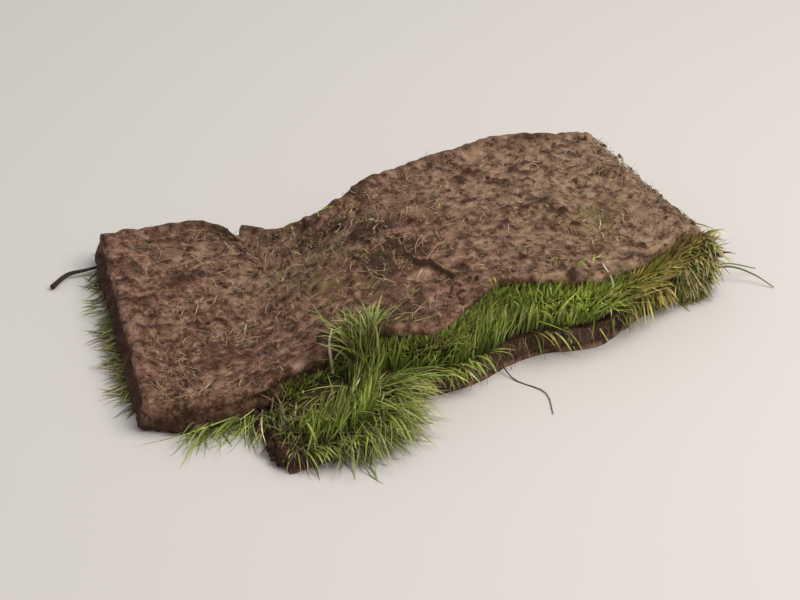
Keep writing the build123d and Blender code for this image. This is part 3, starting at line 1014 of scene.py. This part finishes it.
class TURF_OT_root_fibres(bpy.types.Operator):
    """Lay pale and dark root fibres over the soil face, and let some stand out at the turn"""

    bl_idname = "turf.root_fibres"
    bl_label = "Root fibres"

    def execute(self, context):
        """Each fibre is a tube along a wandering path over the soil face, half sunk in it."""
        s, look = context.scene.turf_shape, context.scene.turf_soil
        rng = np.random.default_rng(3)
        count, steps = look.fibre_count, 7
        u = rng.uniform(0.02, 3.9, count)
        v = rng.uniform(0.01, 0.99, count)
        length = rng.gamma(3.0, 0.0042, count)
        us, vs = over_soil(u, v, rng.uniform(0, 2 * np.pi, count), length, steps, 0.28, s, rng)
        points, normal = soil_surface(us, vs, s)
        radius = rng.uniform(0.00016, 0.00036, (count, 1))
        taper = np.sin(np.linspace(0.12, np.pi - 0.12, steps)) ** 0.5
        lift = 0.7 + 1.6 * (rng.uniform(0, 1, (count, 1)) ** 3) * np.sin(np.linspace(0, np.pi, steps))
        paths = points + normal * (radius * lift)[..., None]
        paths[..., 2] = np.maximum(paths[..., 2], radius)
        shade = rng.choice([0.28, 0.6, 0.85, 1.1, 1.35], count, p=[0.22, 0.26, 0.26, 0.18, 0.08])
        add_strands("root_fibres", paths, radius * taper, 3, shade, s)
        self.stand_out(s, rng)
        return {"FINISHED"}

    def stand_out(self, s, rng):
        """Short rootlets that leave the soil face along its normal, mostly on the turn and along edges."""
        on_turn, on_edges, steps = 260, 160, 5
        count = on_turn + on_edges
        u = np.concatenate([rng.uniform(3.0, 4.0, on_turn), rng.uniform(0.0, 3.0, on_edges)])
        v = np.concatenate([rng.uniform(0.0, 1.0, on_turn), rng.choice([0.004, 0.996], on_edges)])
        points, normal = soil_surface(u, v, s)
        lean = unit(normal + rng.normal(0, 0.75, (count, 3)))
        length = rng.uniform(0.002, 0.0055, (count, 1, 1))
        share = np.linspace(-0.1, 1, steps)[:, None]
        bend = rng.normal(0, 0.5, (count, 1, 3)) * share**2
        paths = points[:, None] + (lean[:, None] + bend) * share * length
        paths[..., 2] = np.maximum(paths[..., 2], 0.0004)
        radius = rng.uniform(0.00014, 0.0003, (count, 1)) * np.linspace(1, 0.35, steps)
        add_strands("rootlets", paths, radius, 3, rng.choice([0.3, 0.55, 0.9], count), s)


class TURF_OT_clods(bpy.types.Operator):
    """Stick loose clods and crumbs of earth on the soil face, most of them along the edges"""

    bl_idname = "turf.clods"
    bl_label = "Clods"

    def execute(self, context):
        """Small wobbly spheres whose middles lie a little under the soil face, sized by a skewed law."""
        s, look = context.scene.turf_shape, context.scene.turf_soil
        rng = np.random.default_rng(5)
        count = look.clod_count
        u = rng.uniform(0.0, 3.8, count)
        side = rng.choice([-1.0, 0.0, 1.0], count, p=[0.3, 0.45, 0.25])
        edge = np.abs(rng.normal(0, 0.04, count))
        v = np.select([side < 0, side > 0], [edge, 1 - edge], rng.uniform(0, 1, count))
        points, normal = soil_surface(u, np.clip(v, 0.003, 0.997), s)
        radius = np.minimum(0.0006 + rng.gamma(1.6, 0.00045, count), 0.0034)
        centres = points - normal * (radius * 0.15)[:, None]
        centres[:, 2] = np.maximum(centres[:, 2], radius)
        lumped = lumps(centres, radius, rng)
        red, pale, dark = (np.array(tuple(c)) for c in (look.red_soil, look.pale_soil, look.dark_soil_and_shade))
        share = rng.uniform(0, 1, (count, 1))
        colour = np.where(share < 0.2, dark * 1.6, red + (pale - red) * share)
        self.add("clods", *lumped, colour * rng.uniform(0.55, 1.0, (count, 1)), s)
        self.corner_clods(s, dark, rng)
        return {"FINISHED"}

    def add(self, name, verts, faces, colour, s):
        """Adds clods in one colour each."""
        colours = np.repeat(colour, LUMP_POINTS, 0)
        add_piece(name, verts, faces, fibre_material(), "soil", s, colours=colours)

    def corner_clods(self, s, dark, rng):
        """Larger clods that have crumbled off the left side of the lower layer's corner, in dark soil colour
        that is also painted shade under the top layer's front edge.
        """
        count = 120
        y = rng.uniform(-0.040, 0.036, count)
        gap = np.interp(y, (-0.04, -0.017, 0.016, 0.036), (0.0, 0.005, 0.022, 0.024))
        out = rng.uniform(-0.1, 1, count)
        x = -lower_reach(y, s) - out * gap
        radius = rng.uniform(0.0026, 0.0056, count)
        spare = s.crumbled_thickness + 0.001 - radius
        z = radius * 0.8 + rng.uniform(0, 1, count) * spare * (1 - 0.5 * out)
        verts, faces = lumps(np.stack([x, y, z], -1), radius, rng)
        verts[:, 2] = np.maximum(verts[:, 2], 0.0002)
        # Dark soil colour, also painted shade under the top layer's front edge
        self.add("corner_clods", verts, faces, dark * rng.uniform(0.7, 1.4, (count, 1)), s)


class TURF_OT_thatch_felt(bpy.types.Operator):
    """Fill the space between the layers with the felt of dead grass that the blades stand in, dark as painted
    shade of dense grass
    """

    bl_idname = "turf.thatch_felt"
    bl_label = "Thatch felt"

    def execute(self, context):
        """A closed skin over a plan grid: one half hangs under the roof and the other lies on the floor.

        Both halves come in from the edges by an inset, meet on the rim and are moved by fractal noise.
        """
        s, look = context.scene.turf_shape, context.scene.turf_grass
        along, across, inset = 150, 60, 0.009
        share_x = np.linspace(0, 1, along)[:, None]
        share_y = np.linspace(0, 1, across)
        y = share_y * s.strip_width
        for _ in range(6):
            x = -sum(stretches(y, s)) * (1 - share_x) - s.mat_thickness * share_x
            x = x + inset * (1 - 2 * share_x)
            lower = np.where(x > -lower_reach(y, s), lower_front(x, s) + 0.03, 1.0)
            front = np.minimum(top_front(x, s), lower) + inset
            y = front + share_y * (back_edge(x, s) - 0.6 * inset - front)
        roof, floor = hollow(x, y, s)
        floor = np.where(x > -lower_reach(y, s) - 0.002, floor, 0.0)
        rim = np.minimum(np.minimum(share_x, 1 - share_x) * along, np.minimum(share_y, 1 - share_y) * across)
        open_up = np.clip(rim / 3, 0, 1) ** 0.5
        middle, half = (roof + floor) / 2, np.maximum((roof - floor) / 2 - 0.0012, 0.0004)
        skin = np.stack([[x, y, middle + half * open_up], [x, y, middle - half * open_up]])
        skin = np.moveaxis(skin, 1, -1).reshape(-1, 3)
        skin = skin + (0.0016 * fractal(skin, *FELT_NOISE))[:, None] * np.array((1.0, 1.0, 0.15))
        skin[:, 2] = np.maximum(skin[:, 2], 0.0004)
        quads = grid_quads(along, across, False)
        faces = [np.concatenate([quads[:, ::-1], quads + along * across])]
        shade = 1 + 0.5 * fractal(skin, *FELT_SHADE_NOISE)[:, None]
        # The felt's dark thatch colour is painted shade of dense grass between the layers
        colours = np.maximum(np.array(tuple(look.thatch)) * shade, 0)
        material = fibre_material()
        add_piece("thatch_felt", skin, faces, material, "grass", s, ("grass_sward",), WELD, colours=colours)
        return {"FINISHED"}


class TURF_OT_front_fringe(bpy.types.Operator):
    """Grow the fringe of blades along the front edge, from the lower layer up and from the top layer down"""

    bl_idname = "turf.front_fringe"
    bl_label = "Front fringe"

    def execute(self, context):
        rng = np.random.default_rng(7)
        self.from_lower_layer(context.scene.turf_shape, rng)
        self.from_top_layer(context.scene.turf_shape, rng)
        return {"FINISHED"}

    def from_lower_layer(self, s, rng):
        """Blades that come out between the layers and stand up in front of the top layer's cut.

        Each is aimed to clear the top layer's edge at its underside, and is long enough to reach the soil
        face from there. Near the turn, and some further left, blades hang down over the lower layer instead.
        """
        count = 4000
        x = rng.uniform(-0.384, -0.016, count)
        inward = rng.uniform(0, 1, count) ** 1.7
        bare = np.interp(x, (-0.22, -0.19, -0.1, -0.08), (0.0, 1.0, 1.0, 0.0))
        y = lower_front(x, s) + 0.0008 + 0.003 * bare + 0.030 * inward
        floor = lower_thickness(x, y, s)
        rise = np.maximum(top_height(x, y, s) - s.mat_thickness - floor, 0.003)
        clear = np.maximum(y - top_front(x, s), 0) + rng.uniform(0.0003, 0.005, count)
        share = np.interp(x, (-0.3, -0.24, -0.205, -0.085, -0.06, 0), (0.45, 0.25, 0.02, 0.02, 0.2, 0.3))
        hanging = rng.uniform(0, 1, count) < share
        lift = np.clip(np.arctan2(rise, clear), 0.25, 1.5) + rng.normal(0, 0.09, count)
        lift = np.where(hanging, lift * 0.5, lift)
        turn = np.radians(rng.normal(0, 27, count) + np.interp(x, (-0.3, -0.22, -0.16), (-48, -52, -82)))
        places = (-0.3, -0.26, -0.2, -0.17, -0.1, -0.05)
        spare = np.interp(x, places, (0.02, 0.013, 0.014, 0.021, 0.020, 0.010))
        lengths = np.hypot(rise, clear) + rng.uniform(0.2, 1.0, count) * spare
        lengths = np.where(hanging, lengths * 0.7, lengths)
        droop = np.where(hanging, rng.uniform(0.6, 2.4, count), rng.normal(-0.1, 0.3, count))
        kinds = {"fresh_green": 4, "bright_green": 2.6, "deep_green": 2.4, "olive": 1.3, "straw": 0.5}
        roots, bright = np.stack([x, y, floor], -1), self.ageing(x)
        grow("fringe_from_lower", roots, turn, lift, lengths, (0.4, 1.1), droop, kinds, rng, s, bright=bright)

    def from_top_layer(self, s, rng):
        """Blades rooted in the top layer's underside, which come out level and curl up over its cut."""
        count = 2600
        x = rng.uniform(-0.37, -0.02, count)
        y = top_front(x, s) + 0.0005 + 0.018 * rng.uniform(0, 1, count) ** 1.8
        roots = np.stack([x, y, top_height(x, y, s) - s.mat_thickness], -1)
        turn = np.radians(rng.normal(-85, 30, count))
        lift = np.radians(rng.uniform(-20, 15, count))
        spare = np.interp(x, (-0.3, -0.26, -0.2, -0.17), (0.012, 0.006, 0.006, 0.012))
        lengths = 0.009 + (y - top_front(x, s)) + rng.uniform(0.0, 1.0, count) * spare
        kinds = {"fresh_green": 3.5, "bright_green": 2.8, "deep_green": 2.6, "olive": 1.4, "straw": 0.6}
        widths, droop, looks = (0.4, 1.1), (-3.2, -0.6), {"curl": 0.3, "bright": self.ageing(x)}
        grow("fringe_from_top", roots, turn, lift, lengths, widths, droop, kinds, rng, s, **looks)

    def ageing(self, x):
        """Factors on the blades' colour by place: browner towards the turn, duller on the left."""
        old = np.interp(x, (-0.115, -0.085, -0.02), (0.0, 0.6, 1.0))[:, None]
        level = np.interp(x, (-0.30, -0.20, -0.15, -0.11), (0.85, 0.9, 1.35, 1.15))[:, None]
        return level * (1 - old * np.array((0.12, 0.5, 0.2)))


class TURF_OT_tufts(bpy.types.Operator):
    """Grow the big tuft on the lower layer's corner and the tall one that curls over the top layer's edge"""

    bl_idname = "turf.tufts"
    bl_label = "Tufts"

    def execute(self, context):
        rng = np.random.default_rng(11)
        for part in (self.dry_tuft, self.big_tuft, self.curling_tuft, self.sweeping_blades):
            part(context.scene.turf_shape, rng)
        return {"FINISHED"}

    def dry_tuft(self, s, rng):
        """Short tired blades on the corner itself, left of the green ones."""
        count = 950
        x = rng.uniform(-0.390, -0.330, count)
        y = rng.uniform(-0.040, 0.014, count)
        roots = np.stack([x, y, lower_thickness(x, y, s)], -1)
        turn, lift, lengths, widths, droop = (-60, 50), (10, 75), (0.3, 0.75), (0.35, 0.9), (0.5, 2.2)
        kinds = {"olive": 4, "straw": 1.2, "deep_green": 2.0, "thatch": 3.4, "fresh_green": 1.2}
        looks = {"steps": 7, "curl": 0.8, "bright": 0.62}
        grow("dry_tuft", roots, turn, lift, lengths, widths, droop, kinds, rng, s, **looks)

    def big_tuft(self, s, rng):
        """Long soft blades rooted on the corner's right side, which sweep to the right and down."""
        count = 1300
        x = -0.360 + 0.064 * rng.beta(1.7, 1.3, count)
        y = np.maximum(rng.uniform(-0.042, 0.010, count), lower_front(x, s) + 0.001)
        roots = np.stack([x, y, lower_thickness(x, y, s)], -1)
        turn, lift, lengths, widths, droop = (-60, 27), (-5, 58), (0.6, 1.45), (0.4, 0.95), (0.4, 1.8)
        kinds = {"fresh_green": 4, "bright_green": 3.0, "deep_green": 2.6, "olive": 1.6, "straw": 1.0}
        looks = {"steps": 9, "curl": 0.8, "bright": 0.3 + 0.3 * smooth((x + 0.345) / 0.03)[:, None]}
        grow("big_tuft", roots, turn, lift, lengths, widths, droop, kinds, rng, s, **looks)

    def curling_tuft(self, s, rng):
        """Blades from the lower layer and from the top layer's cut, which stand up and curl over its edge."""
        look = bpy.context.scene.turf_grass
        count = 250
        x = rng.normal(-0.310, 0.0055, count)
        low = rng.uniform(0, 1, count) < 0.5
        y = top_front(x, s) - np.where(low, rng.uniform(0.005, 0.013, count), 0.001)
        above = top_height(x, top_front(x, s), s) - s.mat_thickness * rng.uniform(0.1, 1.1, count)
        roots = np.stack([x, y, np.where(low, lower_thickness(x, y, s), above)], -1)
        turn = np.radians(rng.normal(98, 15, count))
        lift = np.radians(np.where(low, rng.uniform(76, 92, count), rng.uniform(40, 85, count)))
        shares = np.where(low, rng.uniform(1.1, 1.8, count), rng.uniform(0.3, 1.0, count))
        lengths = look.blade_length * shares
        widths = look.blade_width * rng.uniform(0.5, 1.2, count)
        droop = rng.uniform(0.0, 1.6, count) * np.where(low, 0.5, 1.0)
        kinds = {"bright_green": 2.0, "fresh_green": 3, "olive": 3.4, "straw": 1.2, "deep_green": 1.2}
        looks = {"steps": 9, "bright": 0.44, "over_edge": True}
        grow("curling_tuft", roots, turn, lift, lengths, widths, droop, kinds, rng, s, **looks)

    def sweeping_blades(self, s, rng):
        """Thin blades that come out under the free part's front and lie on the ground towards the left."""
        count = 90
        x = rng.uniform(-0.425, -0.375, count)
        y = top_front(x, s) + rng.uniform(-0.004, 0.012, count)
        roots = np.stack([x, y, rng.uniform(0.003, 0.010, count)], -1)
        turn, lift, lengths, widths, droop = (-140, 11), (-2, 20), (0.6, 1.5), (0.3, 0.7), (0.1, 0.8)
        kinds = {"fresh_green": 3, "bright_green": 2, "deep_green": 2, "straw": 1.5}
        looks = {"steps": 9, "bright": 0.72}
        grow("sweeping_blades", roots, turn, lift, lengths, widths, droop, kinds, rng, s, **looks)


class TURF_OT_hidden_fringe(bpy.types.Operator):
    """Grow the grass that shows under the free part, along the back edge and round the free end"""

    bl_idname = "turf.hidden_fringe"
    bl_label = "Fringe at the sides"

    def execute(self, context):
        rng = np.random.default_rng(13)
        self.free_end(context.scene.turf_shape, rng)
        self.back(context.scene.turf_shape, rng)
        return {"FINISHED"}

    def free_end(self, s, rng):
        """Crushed blades that come out level from under the free end and its front edge, darkened as painted
        shade there.
        """
        count = 1050
        y = rng.uniform(0.080, 0.262, count)
        y = np.where(rng.uniform(0, 1, count) < 0.65, rng.normal(0.145, 0.028, count).clip(0.08, 0.26), y)
        x = -sum(stretches(y, s)) - s.free_end_lean + 0.002 + 0.012 * rng.uniform(0, 1, count) ** 1.4
        front = rng.uniform(0, 1, count) < 0.2
        x = np.where(front, rng.uniform(-0.44, -0.38, count), x)
        y = np.where(front, top_front(x, s) + 0.001 + 0.02 * rng.uniform(0, 1, count), y)
        roots = np.stack([x, y, np.full(count, s.crushed_grass)], -1)
        turn = np.where(front, -np.pi / 2, np.pi + 0.28) + rng.normal(0, 0.6, count)
        lift, lengths, widths, droop = (-30, 8), (0.15, 0.85), (0.3, 0.8), (0.0, 0.6)
        kinds = {"deep_green": 2.4, "olive": 3, "fresh_green": 1.5, "straw": 2.0}
        # At half brightness: dark blades, and painted shade beside the free end
        looks = {"steps": 6, "bright": 0.5}
        grow("free_end_blades", roots, turn, lift, lengths, widths, droop, kinds, rng, s, **looks)

    def back(self, s, rng):
        """Shorter blades from both layers along the back edge, pressed level between them."""
        count = 2600
        x = rng.uniform(-0.395, -0.02, count)
        y = back_edge(x, s) - 0.001 - 0.022 * rng.uniform(0, 1, count) ** 1.5
        roof = top_height(x, y, s) - s.mat_thickness
        floor = np.where(x > -lower_reach(y, s), lower_thickness(x, y, s), 0.001)
        z = floor + (roof - floor) * rng.choice([0.02, 0.98, 0.5], count)
        roots = np.stack([x, y, z], -1)
        turn = np.pi / 2 + rng.normal(0, 0.6, count)
        lift, lengths, widths, droop = (-30, 30), (0.2, 0.62), (0.4, 1.0), (0.0, 0.8)
        kinds = {"deep_green": 3, "fresh_green": 3, "olive": 2, "straw": 1.2}
        looks = {"steps": 6, "bright": 0.85}
        grow("back_fringe", roots, turn, lift, lengths, widths, droop, kinds, rng, s, **looks)


class TURF_OT_corner_thatch(bpy.types.Operator):
    """Grow the bunch of dry thatch at the turn's front corner"""

    bl_idname = "turf.corner_thatch"
    bl_label = "Corner thatch"

    def execute(self, context):
        """Short blades of olive and straw, rooted in the turn's front face and outside, splayed every way."""
        s = context.scene.turf_shape
        rng = np.random.default_rng(17)
        count = 1500
        radius = s.turn_height / 2
        angle = np.radians(rng.uniform(-80, 45, count))
        out = radius - s.mat_thickness * rng.uniform(-0.05, 1.6, count)
        x = -radius + np.maximum(out, 0.001) * np.cos(angle)
        z = radius + np.maximum(out, 0.001) * np.sin(angle)
        y = s.turn_front - 0.001 + 0.036 * rng.uniform(0, 1, count) ** 2.2 * (out > 0.98 * radius)
        roots = np.stack([x, y, z], -1)
        turn = np.radians(rng.normal(-48, 44, count))
        lift = angle * 0.6 + rng.normal(0, 0.4, count)
        lengths, widths, droop = (0.2, 0.6), (0.35, 0.9), (0.2, 1.8)
        kinds = {"olive": 5, "straw": 2.4, "deep_green": 0.8, "thatch": 2.4, "fresh_green": 0.8}
        looks = {"steps": 7, "curl": 0.9}
        grow("corner_thatch", roots, turn, lift, lengths, widths, droop, kinds, rng, s, **looks)
        return {"FINISHED"}


class TURF_OT_bits(bpy.types.Operator):
    """Scatter the bits that lie on the soil: green scraps at the dip, a straw patch, and the loose stems"""

    bl_idname = "turf.bits"
    bl_label = "Bits and stems"

    def execute(self, context):
        s = context.scene.turf_shape
        rng = np.random.default_rng(19)
        for patch in PATCHES:
            self.lying(*patch, rng, s)
        self.stems(s)
        self.hanging_roots(s, rng)
        return {"FINISHED"}

    def lying(self, name, middle, spread, count, kinds, rng, s):
        """Short narrow blades lying on the soil face, spread by a bell round the middle in u and v."""
        look, steps = bpy.context.scene.turf_grass, 6
        u = np.clip(rng.normal(middle[0], spread[0], count), 0.05, 3.4)
        v = np.clip(rng.normal(middle[1], spread[1], count), 0.03, 0.97)
        length = rng.uniform(0.003, 0.011, count)
        us, vs = over_soil(u, v, rng.uniform(0, 2 * np.pi, count), length, steps, 0.16, s, rng)
        points, normal = soil_surface(us, vs, s)
        tip = np.linspace(0, 1, steps) ** 2 * rng.uniform(0, 0.0035, (count, 1))
        paths = points + normal * (0.0005 + tip)[..., None]
        twist = np.stack([rng.uniform(0, 2 * np.pi, count), rng.uniform(0, 0.5, count)], -1)
        verts, faces = blade_mesh(paths, look.blade_width * rng.uniform(0.25, 0.6, count), twist)
        colours = blade_tints(count, steps, kinds, rng, 0.75)
        add_piece(name, verts, faces, grass_material(), "grass", s, colours=colours)

    def stems(self, s):
        """Single stems as tubes on smooth curves through a few given points."""
        at = np.linspace(0, 1, 14)
        for name, knots, radii, tone in STEMS:
            where = np.linspace(0, 1, len(knots))
            path = [curve_through(np.stack([where, places], -1), at) for places in zip(*knots)]
            verts, faces = tubes(np.stack(path, -1)[None], np.interp(at, (0, 1), radii)[None], 6)
            colours = np.tile(linear(*tone), (len(verts), 1))
            add_piece(name, verts, faces, fibre_material(), "grass", s, colours=colours)

    def hanging_roots(self, s, rng):
        """Pale root strands that hang down the lower layer's cut face from the fringe to the ground."""
        count, steps = 95, 6
        x = np.concatenate([rng.uniform(-0.26, -0.10, 50), rng.uniform(-0.39, -0.03, 45)])
        y = lower_front(x, s) - 0.0015
        share = np.linspace(0, 1, steps)
        sway = rng.normal(0, 0.0022, (count, 1)) * share + rng.normal(0, 0.0007, (count, steps))
        out = 0.001 + rng.uniform(0.0, 0.007, (count, 1)) * share**1.5
        fall = 0.021 * (1 - share * rng.uniform(0.25, 1.0, (count, 1)))
        paths = np.stack([x[:, None] + sway, y[:, None] - out, np.maximum(fall, 0.0005)], -1)
        radius = rng.uniform(0.0002, 0.0005, (count, 1)) * (1 - 0.5 * share)
        add_strands("hanging_roots", paths, radius, 4, rng.choice([0.25, 0.5, 0.85], count), s)


class TURF_OT_stage(bpy.types.Operator):
    """Lay the floor, hang the lamps and set up the camera"""

    bl_idname = "turf.stage"
    bl_label = "Stage"

    def execute(self, context):
        look = context.scene.turf_stage
        self.lay_floor(look)
        self.light(context.scene, look)
        self.aim_camera(context.scene, look)
        return {"FINISHED"}

    def lay_floor(self, look):
        half = look.floor_size / 2
        points = np.array([(-half, -half, 0), (half, -half, 0), (half, half, 0), (-half, half, 0)], float)
        floor = build_mesh("floor", points, [np.array([[0, 1, 2, 3]])])
        material, _, shader = new_material("floor_paint", 0.9, 0.2)
        shader.inputs["Base Color"].default_value = rgba(look.floor_colour)
        floor.data.materials.append(material)

    def light(self, scene, look):
        """An even pale sky, and one large soft lamp above on the right."""
        world = bpy.data.worlds.new("soft_sky")
        world.use_nodes = True
        sky = world.node_tree.nodes["Background"]
        sky.inputs["Color"].default_value = (0.97, 0.985, 1.0, 1.0)
        sky.inputs["Strength"].default_value = look.sky_light
        scene.world = world
        lamp = bpy.data.lights.new("soft_lamp", "AREA")
        lamp.shape = "DISK"
        lamp.size = 1.6
        lamp.energy = look.key_light
        lamp.color = (1.0, 0.975, 0.94)
        holder = bpy.data.objects.new("soft_lamp", lamp)
        holder.location = (0.75, -0.7, 1.8)
        holder.rotation_euler = (-holder.location).to_track_quat("-Z", "Y").to_euler()
        scene.collection.objects.link(holder)

    def aim_camera(self, scene, look):
        """The camera stands where the photograph's did and looks at the object, with a longer lens."""
        stand, target = (Vector(place(np.array(c), scene.turf_shape)) for c in (CAMERA_PLACE, CAMERA_TARGET))
        data = bpy.data.cameras.new("camera")
        data.lens = look.lens
        data.sensor_width = 36.0
        camera = bpy.data.objects.new("camera", data)
        camera.location = stand
        aim = (target - stand).to_track_quat("-Z", "Y") @ Quaternion((0, 0, 1), CAMERA_ROLL)
        camera.rotation_euler = aim.to_euler()
        scene.collection.objects.link(camera)
        scene.camera = camera
        scene.view_settings.view_transform = "Standard"


class TURF_PT_panel(bpy.types.Panel):
    """Lists the steps that build the turf"""

    bl_idname = "TURF_PT_panel"
    bl_label = "Turf"
    bl_space_type = "VIEW_3D"
    bl_region_type = "UI"
    bl_category = "Turf"

    def draw(self, context):
        for operator in OPERATORS:
            self.layout.operator(operator.bl_idname)
        for group in ("turf_shape", "turf_soil", "turf_grass", "turf_stage"):
            settings = getattr(context.scene, group)
            box = self.layout.box()
            for name in settings.__annotations__:
                box.prop(settings, name)


OPERATORS = (
    TURF_OT_stage,
    TURF_OT_root_mat,
    TURF_OT_root_fibres,
    TURF_OT_clods,
    TURF_OT_thatch_felt,
    TURF_OT_front_fringe,
    TURF_OT_tufts,
    TURF_OT_hidden_fringe,
    TURF_OT_corner_thatch,
    TURF_OT_bits,
)
SETTINGS = {"turf_shape": TurfShape, "turf_soil": TurfSoil, "turf_grass": TurfGrass, "turf_stage": TurfStage}


def register():
    for group in SETTINGS.values():
        bpy.utils.register_class(group)
    for name, group in SETTINGS.items():
        setattr(bpy.types.Scene, name, PointerProperty(type=group))
    for operator in OPERATORS:
        bpy.utils.register_class(operator)
    bpy.utils.register_class(TURF_PT_panel)


def unregister():
    bpy.utils.unregister_class(TURF_PT_panel)
    for operator in reversed(OPERATORS):
        bpy.utils.unregister_class(operator)
    for name, group in SETTINGS.items():
        delattr(bpy.types.Scene, name)
        bpy.utils.unregister_class(group)


def main():
    register()
    bpy.ops.turf.stage()
    bpy.ops.turf.root_mat()
    bpy.ops.turf.root_fibres()
    bpy.ops.turf.clods()
    bpy.ops.turf.thatch_felt()
    bpy.ops.turf.front_fringe()
    bpy.ops.turf.tufts()
    bpy.ops.turf.hidden_fringe()
    bpy.ops.turf.corner_thatch()
    bpy.ops.turf.bits()


if __name__ == "__main__":
    main()
